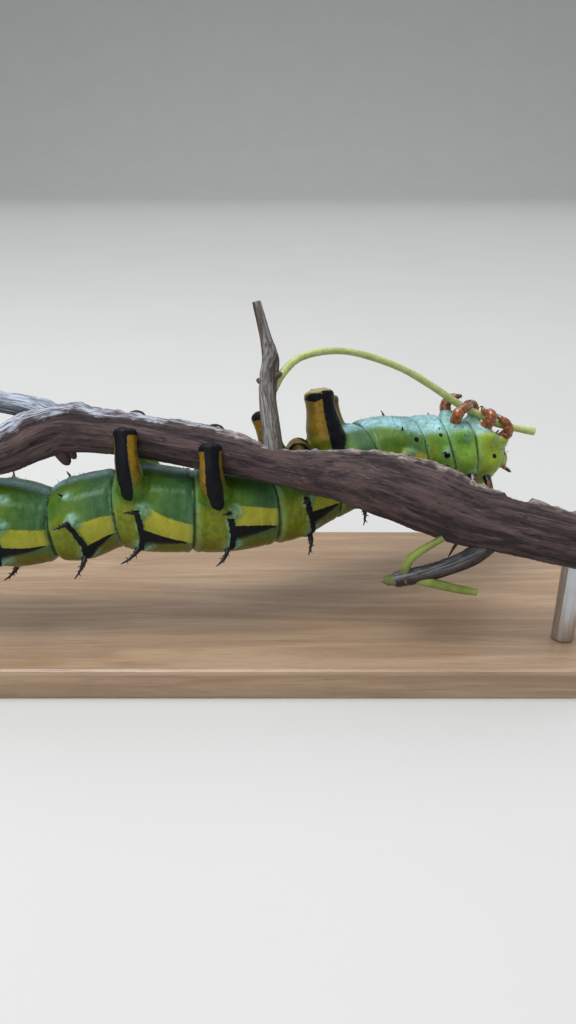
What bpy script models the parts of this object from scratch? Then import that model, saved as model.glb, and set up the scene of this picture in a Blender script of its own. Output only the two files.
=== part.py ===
"""Hickory horned devil larva, full grown and life size, hanging belly up under a cut branch.

Lengths are in metres and +Z is up. The head points to +X and turns away towards +Y, and the
animal's left side faces -Y. The branch is the perch, and a base with two rods carries it.
Angles round the body are in degrees from the middle of the back, positive on the left side.
"""

import math
import random

import bmesh
import bpy
from mathutils import Vector

MM = 0.001
GAP = 0.3 * MM
UP = Vector((0.0, 0.0, 1.0))

# Body: the tail's tip, then each segment with its front joint, all in millimetres.
TAIL_TIP = (-69.0, -1.7, 31.2)
TAIL_TIP_RADIUS = 2.6
# Name, front joint, radius at that joint, widest radius, slant of the joint's plane.
SEGMENTS = (
    ("abdomen_10", (-58.0, -2.1, 29.7), 6.2, 6.4, 0.0),
    ("abdomen_9", (-50.8, -2.0, 29.2), 7.4, 7.8, 0.0),
    ("abdomen_8", (-35.4, -1.2, 27.9), 6.8, 9.0, 0.0),
    ("abdomen_7", (-22.6, -0.1, 31.0), 7.7, 8.6, 0.0),
    ("abdomen_6", (-8.2, 0.2, 30.2), 8.35, 9.0, 0.0),
    ("abdomen_5", (6.2, 4.8, 29.6), 8.3, 8.9, 0.0),
    ("abdomen_4", (17.4, 11.3, 31.8), 8.5, 9.1, 0.0),
    ("abdomen_3", (27.4, 17.2, 34.9), 8.2, 9.0, 0.0),
    ("abdomen_2", (39.5, 20.7, 34.9), 8.25, 8.9, 0.1),
    ("abdomen_1", (46.2, 21.4, 35.3), 8.0, 8.6, 0.21),
    ("thorax_3", (50.4, 22.0, 35.2), 7.3, 8.0, 0.22),
    ("thorax_2", (54.6, 23.9, 33.8), 5.7, 7.1, 0.2),
    ("thorax_1", (57.4, 28.0, 33.2), 3.8, 5.1, 0.1),
)
BODY_SIDES = 24
BELLY_FLATTENING = 0.05
LONG_STATIONS = (0.0, 0.08, 0.2, 0.38, 0.6, 0.8, 0.92, 1.0)
SHORT_STATIONS = (0.0, 0.2, 0.4, 0.65, 0.84, 1.0)
WIDEST_AT = 0.38
FULLNESS = 0.7
HEADING_STEP = 1.5 * MM

# Spines: angle from the back, length, root radius (millimetres), backward lean in degrees.
BACK_SPINE = (57.0, 5.6, 0.62, 46.0)
SIDE_SPINE = (107.0, 3.2, 0.48, 52.0)
BELLY_SPINE = (144.0, 1.5, 0.34, 25.0)
CHEST_SPINE = (130.0, 1.2, 0.34, 20.0)
# How far from its back end a segment bears its spines.
SPINES_AT = {"abdomen_1": 0.8, "abdomen_2": 0.55, "thorax_2": 0.5, "thorax_3": 0.6}
SPINES_ELSEWHERE = 0.38
# The smaller spines of the first and the last segments of the abdomen.
SPINE_SIZES = {"abdomen_1": 0.55, "abdomen_9": 0.7, "abdomen_10": 0.7}
NO_BELLY_SPINES = ("abdomen_3", "abdomen_4", "abdomen_5", "abdomen_6", "abdomen_10")
TAIL_SPINE_AT = 0.5
SPINE_VARIATION = 0.08
LEAN_VARIATION = 6.0
SPINE_SIDES = 4
SPINE_SINK = 1.3 * MM
SPINE_SEED = 7

# Leg pads: swellings of the chest that carry the legs (millimetres).
PAD_RADIUS = 1.9
# Stations of a pad: height over the skin in millimetres, and share of its radius.
PAD_STATIONS = ((-1.5, 1.0), (0.5, 0.88), (1.3, 0.5))
PAD_SIDES = 8

# Horns: name, segment, share of its length, angle, tip (millimetres), root radius.
HORNS = (
    ("horn_t1_left", "thorax_1", 0.4, 62.0, (61.0, 20.0, 30.6), 0.62),
    ("horn_t1_right", "thorax_1", 0.45, -72.0, (49.6, 33.6, 29.6), 0.62),
    ("horn_t2_side_left", "thorax_2", 0.55, 58.0, (54.8, 15.2, 11.2), 0.9),
    ("horn_t2_side_right", "thorax_2", 0.5, -60.0, (41.0, 34.6, 19.6), 0.85),
    ("horn_t2_back_left", "thorax_2", 0.5, 24.0, (61.0, 20.2, 18.4), 0.9),
    ("horn_t2_back_right", "thorax_2", 0.75, -14.0, (51.4, 32.6, 18.2), 0.9),
    ("horn_t3_side_left", "thorax_3", 0.72, 66.0, (46.9, 12.6, 12.8), 0.95),
    ("horn_t3_side_right", "thorax_3", 0.5, -64.0, (37.4, 33.6, 22.6), 0.85),
    ("horn_t3_back_left", "thorax_3", 0.5, 24.0, (44.0, 15.4, 17.8), 0.9),
    ("horn_t3_back_right", "thorax_3", 0.3, -36.0, (41.6, 28.6, 17.6), 0.9),
)
HORN_SIDES = 7
HORN_STATIONS = (0.0, 0.12, 0.3, 0.5, 0.68, 0.84)
HORN_SINK = 1.2 * MM
HORN_SPREAD = 0.42
HORN_ROOT, HORN_NARROWING = 1.1, 0.75
HORN_TIP_RADIUS = 0.1 * MM
SPINELETS = 8
SPINELETS_FROM, SPINELETS_TO = 0.31, 0.86
SPINELET_LENGTH = 1.3 * MM
SPINELET_RADIUS = 0.28 * MM
SPINELET_TIP_RADIUS = 0.08 * MM
SPINELET_TURN = 2.37
SPINELET_LEAN = 0.7

# Prolegs: places along the middle line from inside the body to the foot, and radii (millimetres).
CLASPER_RADII = (3.6, 2.6, 2.3, 2.0)
PROLEGS = (
    (
        "proleg_a6_left",
        ((-18.2, -3.6, 33.4), (-18.6, -6.6, 38.9), (-19.0, -7.0, 43.8), (-19.3, -4.4, 49.0)),
        CLASPER_RADII,
    ),
    (
        "proleg_a6_right",
        ((-18.2, 3.6, 33.4), (-18.6, 6.6, 38.9), (-19.0, 6.9, 43.8), (-19.3, 4.6, 48.6)),
        CLASPER_RADII,
    ),
    (
        "proleg_a5_left",
        ((-2.6, -3.2, 32.0), (-3.0, -6.5, 37.0), (-3.3, -7.4, 41.4), (-3.5, -5.2, 46.2)),
        CLASPER_RADII,
    ),
    (
        "proleg_a5_right",
        ((-2.2, 5.4, 32.0), (-2.8, 6.4, 37.0), (-3.3, 5.4, 41.6), (-3.7, 3.2, 46.2)),
        CLASPER_RADII,
    ),
    (
        "proleg_a4_left",
        ((10.4, 6.2, 33.5), (8.9, 5.4, 38.6), (7.0, 6.4, 43.6), (5.4, 8.4, 48.4)),
        CLASPER_RADII,
    ),
    (
        "proleg_a4_right",
        ((12.4, 11.0, 35.0), (12.7, 10.2, 38.6), (13.2, 7.8, 40.6), (13.2, 4.8, 40.4)),
        (3.0, 2.5, 2.2, 1.8),
    ),
    (
        "proleg_a3_left",
        ((20.6, 12.6, 33.8), (19.4, 11.2, 39.4), (18.1, 12.4, 45.4), (17.2, 14.4, 51.4)),
        (4.9, 4.4, 3.6, 2.9),
    ),
    (
        "proleg_a3_right",
        ((21.0, 17.6, 35.0), (20.6, 19.0, 40.6), (20.4, 20.2, 45.2), (20.2, 21.4, 49.2)),
        (4.2, 3.4, 2.9, 2.4),
    ),
    (
        "anal_proleg_left",
        ((-61.4, -3.6, 31.8), (-62.2, -6.6, 36.0), (-62.6, -7.4, 40.4), (-62.8, -5.2, 44.6)),
        (3.6, 3.1, 2.6, 2.0),
    ),
    (
        "anal_proleg_right",
        ((-61.4, 0.6, 31.8), (-62.2, 2.6, 36.0), (-62.6, 3.0, 40.4), (-62.8, 1.0, 44.6)),
        (3.6, 3.1, 2.6, 2.0),
    ),
)
PROLEG_SIDES = 12
# Stations along a proleg, each with the share of its radius that is left there.
PROLEG_STATIONS = (
    (0.0, 1.0),
    (0.18, 1.0),
    (0.36, 1.0),
    (0.54, 1.0),
    (0.72, 1.0),
    (0.88, 1.0),
    (0.96, 0.85),
    (1.0, 0.5),
)

# True legs: name, segment, share of its length, angle, place on the leaf stalk (millimetres along it).
LEGS = (
    ("leg_t3_left", "thorax_3", 0.5, 158.0, 53.1),
    ("leg_t3_right", "thorax_3", 0.45, -158.0, 50.6),
    ("leg_t2_left", "thorax_2", 0.5, 158.0, 56.4),
    ("leg_t2_right", "thorax_2", 0.4, -164.0, 53.9),
    ("leg_t1_left", "thorax_1", 0.4, 138.0, 60.2),
    ("leg_t1_right", "thorax_1", 0.76, -148.0, 58.8),
)
LEG_RADII = (1.35, 1.25, 1.0, 0.72, 0.34)
# Height of the knee over the skin, the shin's bow, and the last two joints beside and over the stalk.
LEG_KNEE = 2.4
LEG_BOW = 0.35
LEG_HOOK = (1.55, 1.0)
LEG_CLAW = (0.1, 1.75)
LEG_SIDES = 8
LEG_STATIONS = 10

# Head: middle, half its length, radius (millimetres), and how far the face turns to the belly.
HEAD_MIDDLE = (57.1, 32.8, 33.3)
HEAD_LENGTH = 3.3
HEAD_RADIUS = 3.9
HEAD_TILT = 38.0
HEAD_SIDES = 18
HEAD_STATIONS = 9
HEAD_ENDS = 0.96
CROWN_GROOVE = 0.09
# Pieces of the face: (forwards, to the crown, sideways) from the head's middle, and radius.
JAW = (((1.7, 1.6, 0.75), 0.85), ((3.3, 1.9, 0.75), 0.7), ((3.9, 2.0, 0.45), 0.35))
FEELER = (((1.1, 1.1, 2.4), 0.42), ((2.1, 1.6, 3.0), 0.34), ((2.9, 1.9, 3.4), 0.25))
LIP = (((2.0, 0.45, 0.0), 1.15), ((3.3, 0.45, 0.0), 0.9))
FACE_SIDES = 8

# Perch: the branch's middle line with its radius (millimetres).
BRANCH = (
    (-76.0, -3.2, 40.6, 4.1),
    (-59.0, -2.6, 41.8, 4.2),
    (-45.5, -2.6, 43.0, 4.1),
    (-38.5, -0.6, 45.4, 4.4),
    (-32.0, 0.4, 47.0, 4.5),
    (-24.0, 0.2, 46.4, 4.0),
    (-15.0, -0.4, 45.2, 4.0),
    (-6.0, -1.2, 43.7, 4.2),
    (1.5, -1.8, 42.1, 3.7),
    (6.5, -2.2, 40.7, 3.2),
    (11.5, -2.6, 39.9, 3.4),
    (16.0, -3.0, 39.3, 4.1),
    (22.0, -3.4, 38.7, 4.9),
    (29.0, -4.2, 37.4, 6.0),
    (38.0, -5.8, 34.8, 6.5),
    (44.5, -7.1, 32.3, 5.9),
    (54.0, -8.3, 30.4, 5.4),
    (63.0, -9.0, 28.2, 5.0),
    (72.0, -9.6, 26.6, 4.8),
)
BRANCH_SIDES = 18
BRANCH_STATIONS = 52
BARK_SWELL = 0.06
BARK_CREST = 0.08
FORK = (
    (-31.0, 0.8, 47.6, 2.6),
    (-37.5, 1.6, 50.6, 2.3),
    (-46.8, 1.9, 52.2, 1.8),
    (-58.0, 2.2, 52.8, 1.5),
)
FORK_SIDES, FORK_STATIONS = 10, 10
TWIG = (
    (8.3, -2.0, 41.4, 2.2),
    (7.8, 0.4, 46.2, 1.85),
    (7.1, 3.6, 52.0, 1.65),
    (7.3, 5.6, 55.6, 1.8),
    (7.6, 7.2, 59.0, 1.7),
    (6.7, 8.6, 62.8, 1.1),
    (4.9, 9.8, 69.6, 0.85),
)
TWIG_SIDES, TWIG_STATIONS = 10, 15
PETIOLE = (
    (7.8, 4.6, 53.2, 0.95),
    (10.0, 6.6, 56.4, 0.8),
    (13.4, 9.8, 58.7, 0.75),
    (19.5, 14.0, 59.1, 0.7),
    (25.9, 17.5, 57.7, 0.7),
    (34.9, 20.8, 54.0, 0.7),
    (41.9, 22.6, 49.8, 0.75),
    (49.0, 23.4, 45.1, 0.8),
    (53.7, 23.6, 42.7, 0.8),
    (57.7, 23.8, 40.7, 0.75),
    (63.1, 24.2, 39.3, 0.75),
    (66.5, 24.4, 38.6, 0.85),
)
PETIOLE_SIDES, PETIOLE_STATIONS = 8, 30
SIDE_TWIG = (
    (50.2, -8.6, 27.4, 1.9),
    (46.4, -9.6, 24.6, 1.8),
    (41.2, -10.4, 22.6, 1.6),
    (35.8, -11.0, 21.2, 1.6),
    (31.6, -11.0, 20.3, 1.5),
    (28.6, -11.0, 20.1, 0.5),
)
SIDE_TWIG_SIDES, SIDE_TWIG_STATIONS = 9, 12
STUBS = (
    ((33.2, -11.0, 21.0, 0.9), (34.2, -11.2, 24.7, 0.8), (36.9, -11.4, 27.2, 0.7), (40.2, -11.6, 29.6, 0.65)),
    ((34.0, -11.2, 20.8, 0.9), (38.2, -12, 20.2, 0.95), (43.1, -12.4, 19.1, 0.85), (47.3, -12.6, 18.4, 0.7)),
)
STUB_SIDES, STUB_STATIONS = 7, 7

# Stand: one flat base and two rods up to the branch (millimetres).
BASE_SIZE = (164.0, 62.0, 6.0)
BASE_MIDDLE = (-2.0, 10.0)
BASE_CORNER = 8.0
BASE_CORNER_STEPS = 5
BASE_EDGE = 0.8
BASE_EDGE_STEPS = 2
ROD_RADIUS = 2.2
ROD_LEFT_AT = -73.0
ROD_RIGHT_AT = 66.5
ROD_SIDES = 16

# Colours as red, green and blue, then roughness.
GREEN = (0.06, 0.16, 0.02, 0.45)
OLIVE = (0.16, 0.2, 0.02, 0.45)
PROLEG_BROWN = (0.19, 0.11, 0.01, 0.45)
AMBER = (0.22, 0.06, 0.01, 0.25)
HEAD_BROWN = (0.27, 0.07, 0.02, 0.35)
HORN_ORANGE = (0.45, 0.12, 0.02, 0.3)
BARK = (0.09, 0.06, 0.055, 0.9)
PETIOLE_GREEN = (0.36, 0.46, 0.16, 0.5)
BASE_WOOD = (0.1, 0.055, 0.03, 0.5)
ROD_STEEL = (0.55, 0.56, 0.58, 0.35)
SMOOTH_UP_TO = 50.0


def clear_scene():
    """Removes whatever the scene starts with."""
    for thing in list(bpy.data.objects):
        bpy.data.objects.remove(thing, do_unlink=True)


def metres(point):
    """A place in metres from one in millimetres."""
    return Vector(point[:3]) * MM


class Route:
    """A smooth curve through places, read by the distance along it in metres."""

    STEPS = 12

    def __init__(self, places):
        knots = [2 * places[0] - places[1], *places, 2 * places[-1] - places[-2]]
        self.samples = []
        for i in range(1, len(knots) - 2):
            for step in range(self.STEPS):
                self.samples.append(self.between(knots[i - 1 : i + 3], step / self.STEPS))
        self.samples.append(places[-1].copy())
        self.marks = [0.0]
        for a, b in zip(self.samples, self.samples[1:]):
            self.marks.append(self.marks[-1] + (b - a).length)
        self.length = self.marks[-1]

    @staticmethod
    def between(four, t):
        """The place at share t between the middle two of four knots."""
        a, b, c, d = four
        bend = (2 * a - 5 * b + 4 * c - d) * t**2 + (3 * b - a - 3 * c + d) * t**3
        return 0.5 * (2 * b + (c - a) * t + bend)

    def knot(self, index):
        """The distance along the curve at which it passes the given place."""
        return self.marks[index * self.STEPS]

    def place(self, along):
        """The point at a distance along the curve, carried straight on past its ends."""
        last = len(self.marks) - 2
        i = next((k for k in range(last + 1) if self.marks[k + 1] > along), last)
        share = (along - self.marks[i]) / (self.marks[i + 1] - self.marks[i])
        return self.samples[i].lerp(self.samples[i + 1], share)

    def heading(self, along):
        """The curve's direction at a distance along it."""
        return (self.place(along + HEADING_STEP) - self.place(along - HEADING_STEP)).normalized()


def between_values(values, spot):
    """A value at a fractional place in a list, in a straight line between its neighbours."""
    i = min(int(spot), len(values) - 2)
    return values[i] + (spot - i) * (values[i + 1] - values[i])


def loft(rings):
    """A closed form through rings of points: one capped disc, extruded from ring to ring."""
    form = bmesh.new()
    bmesh.ops.create_circle(form, cap_ends=True, segments=len(rings[0]), radius=1.0)
    form.faces.ensure_lookup_table()
    first = cap = form.faces[0]
    for vert, point in zip(cap.verts, rings[0]):
        vert.co = point
    for ring in rings[1:]:
        made = bmesh.ops.extrude_face_region(form, geom=[cap])["geom"]
        if cap is not first:
            bmesh.ops.delete(form, geom=[cap], context="FACES_ONLY")
        cap = next(item for item in made if isinstance(item, bmesh.types.BMFace))
        for vert, point in zip(cap.verts, ring):
            vert.co = point
    face_outwards(form)
    return form


def face_outwards(form):
    """Turns the faces of a closed form outwards."""
    bmesh.ops.recalc_face_normals(form, faces=form.faces[:])
    if form.calc_volume(signed=True) < 0.0:
        bmesh.ops.reverse_faces(form, faces=form.faces[:])


def close_tip(form, point):
    """Draws the last ring of a loft together into a point."""
    caps = [face for face in form.faces if len(face.verts) > 3]
    cap = min(caps, key=lambda face: (face.calc_center_median() - point).length)
    bmesh.ops.pointmerge(form, verts=cap.verts[:], merge_co=point)


def round_ring(middle, across, upward, radius, sides):
    """A ring of points round a middle, from two directions square to its axis."""
    ring = []
    for k in range(sides):
        angle = math.tau * k / sides
        ring.append(middle + radius * (math.cos(angle) * across + math.sin(angle) * upward))
    return ring


def square_to(axis, near=UP):
    """Two directions square to an axis, the second one nearest to the given one."""
    across = axis.cross(near).normalized()
    return across, across.cross(axis).normalized()


def tube(points, sides, stations, grow=0.0, swell=None):
    """A closed tube along (x, y, z, radius) points in millimetres, its radius eased between them."""
    route = Route([metres(point) for point in points])
    marks = [route.knot(i) for i in range(len(points))]
    rings = []
    for k in range(stations):
        along = route.length * k / (stations - 1)
        i = next((j for j in range(len(marks) - 2) if marks[j + 1] >= along), len(marks) - 2)
        share = (along - marks[i]) / (marks[i + 1] - marks[i])
        radius = (points[i][3] + share * (points[i + 1][3] - points[i][3])) * MM
        heading = route.heading(along)
        across, upward = square_to(heading)
        middle = route.place(along)
        if k == 0:
            middle -= grow * heading
        if k == stations - 1:
            middle += grow * heading
        ring = []
        for j in range(sides):
            angle = math.tau * j / sides
            reach = radius * (swell(along, angle) if swell else 1.0) + grow
            ring.append(middle + reach * (math.cos(angle) * across + math.sin(angle) * upward))
        rings.append(ring)
    return loft(rings)


def paint(thing, colour, metallic=0.0):
    """Gives an object a plain material of its own."""
    finish = bpy.data.materials.new(thing.name)
    finish.use_nodes = True
    shader = finish.node_tree.nodes["Principled BSDF"]
    shader.inputs["Base Color"].default_value = (*colour[:3], 1.0)
    shader.inputs["Roughness"].default_value = colour[3]
    shader.inputs["Metallic"].default_value = metallic
    thing.data.materials.clear()
    thing.data.materials.append(finish)


def named(form, name, colour, metallic=0.0):
    """An object of the scene made from a bmesh."""
    mesh = bpy.data.meshes.new(name)
    form.to_mesh(mesh)
    form.free()
    thing = bpy.data.objects.new(name, mesh)
    bpy.context.scene.collection.objects.link(thing)
    paint(thing, colour, metallic)
    thing.data.shade_smooth()
    thing.data.set_sharp_from_angle(angle=math.radians(SMOOTH_UP_TO))
    return thing


def helper(form, name):
    """A hidden object that only cuts others."""
    thing = named(form, name, GREEN)
    thing.hide_render = True
    thing.display_type = "WIRE"
    return thing


def take_result(thing):
    """Keeps what the object's modifiers make as its own mesh."""
    bpy.context.view_layer.update()
    graph = bpy.context.evaluated_depsgraph_get()
    mesh = bpy.data.meshes.new_from_object(thing.evaluated_get(graph))
    thing.modifiers.clear()
    thing.data = mesh
    keep_largest(thing)


def keep_largest(thing):
    """Keeps an object's largest closed surface."""
    form = bmesh.new()
    form.from_mesh(thing.data)
    left = set(form.verts)
    islands = []
    while left:
        island = {left.pop()}
        edge_of = list(island)
        while edge_of:
            vert = edge_of.pop()
            for edge in vert.link_edges:
                other = edge.other_vert(vert)
                if other in left:
                    left.remove(other)
                    island.add(other)
                    edge_of.append(other)
        islands.append(island)
    islands.sort(key=span, reverse=True)
    loose = [vert for island in islands[1:] for vert in island]
    bmesh.ops.delete(form, geom=loose, context="VERTS")
    face_outwards(form)
    form.to_mesh(thing.data)
    form.free()


def span(verts):
    """The diagonal of the box round some vertices."""
    low = [min(vert.co[i] for vert in verts) for i in range(3)]
    high = [max(vert.co[i] for vert in verts) for i in range(3)]
    return (Vector(high) - Vector(low)).length


def fuse(thing, forms):
    """Joins loose closed forms to an object, as one closed body."""
    if not forms:
        return
    group = bpy.data.collections.new(thing.name + "_pieces")
    bpy.context.scene.collection.children.link(group)
    for k, form in enumerate(forms):
        mesh = bpy.data.meshes.new(f"{thing.name}_piece_{k}")
        form.to_mesh(mesh)
        form.free()
        group.objects.link(bpy.data.objects.new(mesh.name, mesh))
    union = thing.modifiers.new("fused", "BOOLEAN")
    union.operation = "UNION"
    union.operand_type = "COLLECTION"
    union.collection = group
    union.solver = "EXACT"
    take_result(thing)
    for piece in list(group.objects):
        bpy.data.objects.remove(piece, do_unlink=True)
    bpy.data.collections.remove(group)


def cut(thing, *cutters):
    """Takes the cutters' space out of an object."""
    for cutter in cutters:
        trim = thing.modifiers.new("cut_" + cutter.name, "BOOLEAN")
        trim.operation = "DIFFERENCE"
        trim.object = cutter
        trim.solver = "EXACT"
    take_result(thing)


class Body:
    """The larva's middle line, with the size and direction of every cross-section."""

    def __init__(self):
        joints = [TAIL_TIP] + [segment[1] for segment in SEGMENTS]
        self.route = Route([metres(joint) for joint in joints])
        self.names = [segment[0] for segment in SEGMENTS]
        self.ends = [self.route.knot(i) for i in range(len(joints))]
        self.joint_radii = [TAIL_TIP_RADIUS * MM] + [segment[2] * MM for segment in SEGMENTS]
        self.wide_radii = [segment[3] * MM for segment in SEGMENTS]
        self.slants = [0.0] + [segment[4] for segment in SEGMENTS]

    def along(self, name, share):
        """The distance from the tail of a place in a segment, 0 at its back end and 1 at its front."""
        i = self.names.index(name)
        return self.ends[i] + share * (self.ends[i + 1] - self.ends[i])

    def radius(self, i, share):
        """A segment's radius: drawn in at both joints and fullest a little behind its middle."""
        joint = between_values(self.joint_radii, i + share)
        side = share / WIDEST_AT if share < WIDEST_AT else (1 - share) / (1 - WIDEST_AT)
        return joint + (self.wide_radii[i] - joint) * math.sin(0.5 * math.pi * side) ** FULLNESS

    def directions(self, along):
        """Heading, left and belly directions of the cross-section at a distance from the tail."""
        heading = self.route.heading(along)
        left = heading.cross(UP).normalized()
        return heading, left, left.cross(heading).normalized()

    def outward(self, along, angle):
        """The direction out of the body at an angle from the middle of the back."""
        _, left, belly = self.directions(along)
        turn = math.radians(angle)
        return math.sin(turn) * left - math.cos(turn) * belly

    def rim(self, i, share, angle, grow=0.0):
        """A point of a cross-section's rim, from its middle. The chest's sections slant."""
        along = self.ends[i] + share * (self.ends[i + 1] - self.ends[i])
        heading, left, belly = self.directions(along)
        turn = math.radians(angle)
        leaning = belly - between_values(self.slants, i + share) * heading
        flat = 1.0 - BELLY_FLATTENING * max(0.0, -math.cos(turn)) ** 3
        reach = self.radius(i, share) * flat + grow
        return reach * (math.sin(turn) * left - math.cos(turn) * leaning)

    def surface(self, name, share, angle):
        """A point on a segment's surface, with the directions out of it and back along the body."""
        along = self.along(name, share)
        place = self.route.place(along) + self.rim(self.names.index(name), share, angle)
        return place, self.outward(along, angle), -self.route.heading(along)

    def ring(self, i, share, shift=0.0, grow=0.0):
        """The ring of points of one cross-section, moved along the body by a shift."""
        along = self.ends[i] + share * (self.ends[i + 1] - self.ends[i])
        middle = self.route.place(along) + shift * self.route.heading(along)
        angles = [360.0 * k / BODY_SIDES for k in range(BODY_SIDES)]
        return [middle + self.rim(i, share, angle, grow) for angle in angles]

    def stations(self, i):
        """The places of a segment's cross-sections, fewer in the short segments of the chest."""
        return SHORT_STATIONS if self.names[i].startswith("thorax") else LONG_STATIONS

    def segment(self, i):
        """One segment's closed form, its flat ends half a gap short of the joints."""
        rings = []
        for share in self.stations(i):
            shift = 0.5 * GAP * ((share == 0.0) - (share == 1.0))
            rings.append(self.ring(i, share, shift))
        return loft(rings)

    def clearance(self):
        """The whole body, a gap larger all round, for cutting what grows from it."""
        rings = [self.ring(0, 0.0, -GAP, GAP)]
        for i in range(len(self.names)):
            for share in self.stations(i)[1:]:
                rings.append(self.ring(i, share, grow=GAP))
        return loft(rings)


def spine(root, out, back, length, radius, lean):
    """A tapered spine that starts inside its root and bends back along the body."""
    turn = math.radians(lean)
    rise = math.cos(0.4 * turn) * out + math.sin(0.4 * turn) * back
    bend = math.cos(turn) * out + math.sin(turn) * back
    middle = root + 0.5 * length * rise
    tip = middle + 0.5 * length * bend
    across, upward = square_to(rise, back)
    rings = [
        round_ring(root - SPINE_SINK * out, across, upward, 1.15 * radius, SPINE_SIDES),
        round_ring(middle, across, upward, 0.72 * radius, SPINE_SIDES),
        round_ring(tip, across, upward, 0.2 * radius, SPINE_SIDES),
    ]
    form = loft(rings)
    close_tip(form, tip)
    return form


def spine_rows(name):
    """The rows of spines that a segment bears."""
    if name in ("thorax_2", "thorax_3"):
        return (CHEST_SPINE,)
    if name == "thorax_1":
        return ()
    if name in NO_BELLY_SPINES:
        return (BACK_SPINE, SIDE_SPINE)
    return (BACK_SPINE, SIDE_SPINE, BELLY_SPINE)


def spines_of(body, name, chance):
    """The spines of one segment, in pairs, each a little different in length and lean."""
    forms = []
    for angle, length, radius, lean in spine_rows(name):
        for side in (1, -1):
            size = SPINE_SIZES.get(name, 1.0) * chance.uniform(1 - SPINE_VARIATION, 1 + SPINE_VARIATION)
            root, out, back = body.surface(name, SPINES_AT.get(name, SPINES_ELSEWHERE), side * angle)
            leaning = lean + chance.uniform(-LEAN_VARIATION, LEAN_VARIATION)
            forms.append(spine(root, out, back, size * length * MM, size * radius * MM, leaning))
    if name == "abdomen_8":
        _, length, radius, lean = BACK_SPINE
        root, out, back = body.surface(name, TAIL_SPINE_AT, 0.0)
        forms.append(spine(root, out, back, length * MM, radius * MM, lean))
    return forms


def leg_pad(body, segment, share, angle, grow=0.0):
    """The swelling of a chest segment from which a leg grows."""
    root, out, back = body.surface(segment, share, angle)
    across, upward = square_to(out, back)
    i = body.names.index(segment)
    reach = PAD_RADIUS * MM * body.radius(i, share) / max(body.wide_radii[-3:])
    rings = []
    for height, size in PAD_STATIONS:
        rise = height * MM + (grow if height > 0.0 else 0.0)
        rings.append(round_ring(root + rise * out, across, upward, size * reach + grow, PAD_SIDES))
    return loft(rings)


def leg_pads(body, name):
    """The leg pads that a segment bears."""
    return [leg_pad(body, name, share, angle) for _, segment, share, angle, _ in LEGS if segment == name]


def make_segments(body):
    """Every segment of the body with its spines and leg pads."""
    chance = random.Random(SPINE_SEED)
    for i, name in enumerate(body.names):
        thing = named(body.segment(i), name, OLIVE if name.startswith("thorax") else GREEN)
        fuse(thing, spines_of(body, name, chance) + leg_pads(body, name))


class Bow:
    """A curve from start to end, in one plane, that leaves towards pull."""

    STEP = 0.02

    def __init__(self, start, pull, end):
        self.start, self.pull, self.end = start, pull, end
        self.across = (pull - start).cross(end - pull).normalized()

    def place(self, t):
        """The point at share t of the curve."""
        return (1 - t) ** 2 * self.start + 2 * t * (1 - t) * self.pull + t**2 * self.end

    def heading(self, t):
        """The curve's direction at share t."""
        return (self.place(t + self.STEP) - self.place(t)).normalized()

    def ring(self, t, radius, sides):
        """The ring of points of the cross-section at share t."""
        return round_ring(self.place(t), self.across, self.across.cross(self.heading(t)), radius, sides)


def spinelet(bow, t, turn):
    """A short side prickle of a horn, at share t and turned round it."""
    ahead = bow.heading(t)
    side = math.cos(turn) * bow.across + math.sin(turn) * bow.across.cross(ahead)
    tilt = (side + SPINELET_LEAN * ahead).normalized()
    a, b = square_to(tilt, side)
    place = bow.place(t)
    tip = place + SPINELET_LENGTH * (1.0 - 0.35 * t) * tilt
    return loft([round_ring(place, a, b, SPINELET_RADIUS, 3), round_ring(tip, a, b, SPINELET_TIP_RADIUS, 3)])


def make_horn(body, name, segment, share, angle, tip, radius, clearance):
    """A long curved horn, thin at its tip, with short spinelets round it."""
    root, out, _ = body.surface(segment, share, angle)
    end = metres(tip)
    pull = root + HORN_SPREAD * (end - root).length * out
    bow = Bow(root - HORN_SINK * out, pull, end)
    sizes = [radius * MM * (HORN_ROOT - HORN_NARROWING * t) for t in HORN_STATIONS] + [HORN_TIP_RADIUS]
    form = loft([bow.ring(t, size, HORN_SIDES) for t, size in zip((*HORN_STATIONS, 1.0), sizes)])
    close_tip(form, end)
    thing = named(form, name, HORN_ORANGE)
    step = (SPINELETS_TO - SPINELETS_FROM) / (SPINELETS - 1)
    fuse(thing, [spinelet(bow, SPINELETS_FROM + k * step, k * SPINELET_TURN) for k in range(SPINELETS)])
    cut(thing, clearance)


def make_proleg(name, points, radii, cutters):
    """A proleg: a soft stump that narrows to a rounded foot."""
    route = Route([metres(point) for point in points])
    rings = []
    for share, left in PROLEG_STATIONS:
        along = route.length * share
        radius = between_values(radii, share * (len(radii) - 1)) * left * MM
        across, upward = square_to(route.heading(along), Vector((1.0, 0.0, 0.0)))
        rings.append(round_ring(route.place(along), across, upward, radius, PROLEG_SIDES))
    cut(named(loft(rings), name, PROLEG_BROWN), *cutters)


def leg_points(body, petiole, segment, share, angle, grip):
    """The joints of a true leg, from inside its pad to the claw over the leaf stalk."""
    root, out, _ = body.surface(segment, share, angle)
    hold = petiole.place(grip * MM)
    lift = square_to(petiole.heading(grip * MM))[1]
    beside = math.copysign(1.0, angle) * body.directions(body.along(segment, share))[1]
    knee = root + LEG_KNEE * MM * out
    hook = hold + LEG_HOOK[0] * MM * beside + LEG_HOOK[1] * MM * lift
    claw = hold + LEG_CLAW[0] * MM * beside + LEG_CLAW[1] * MM * lift
    shin = 0.5 * (knee + hook) + LEG_BOW * MM * (out + lift)
    return [root - 1.0 * MM * out, knee, shin, hook, claw]


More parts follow.
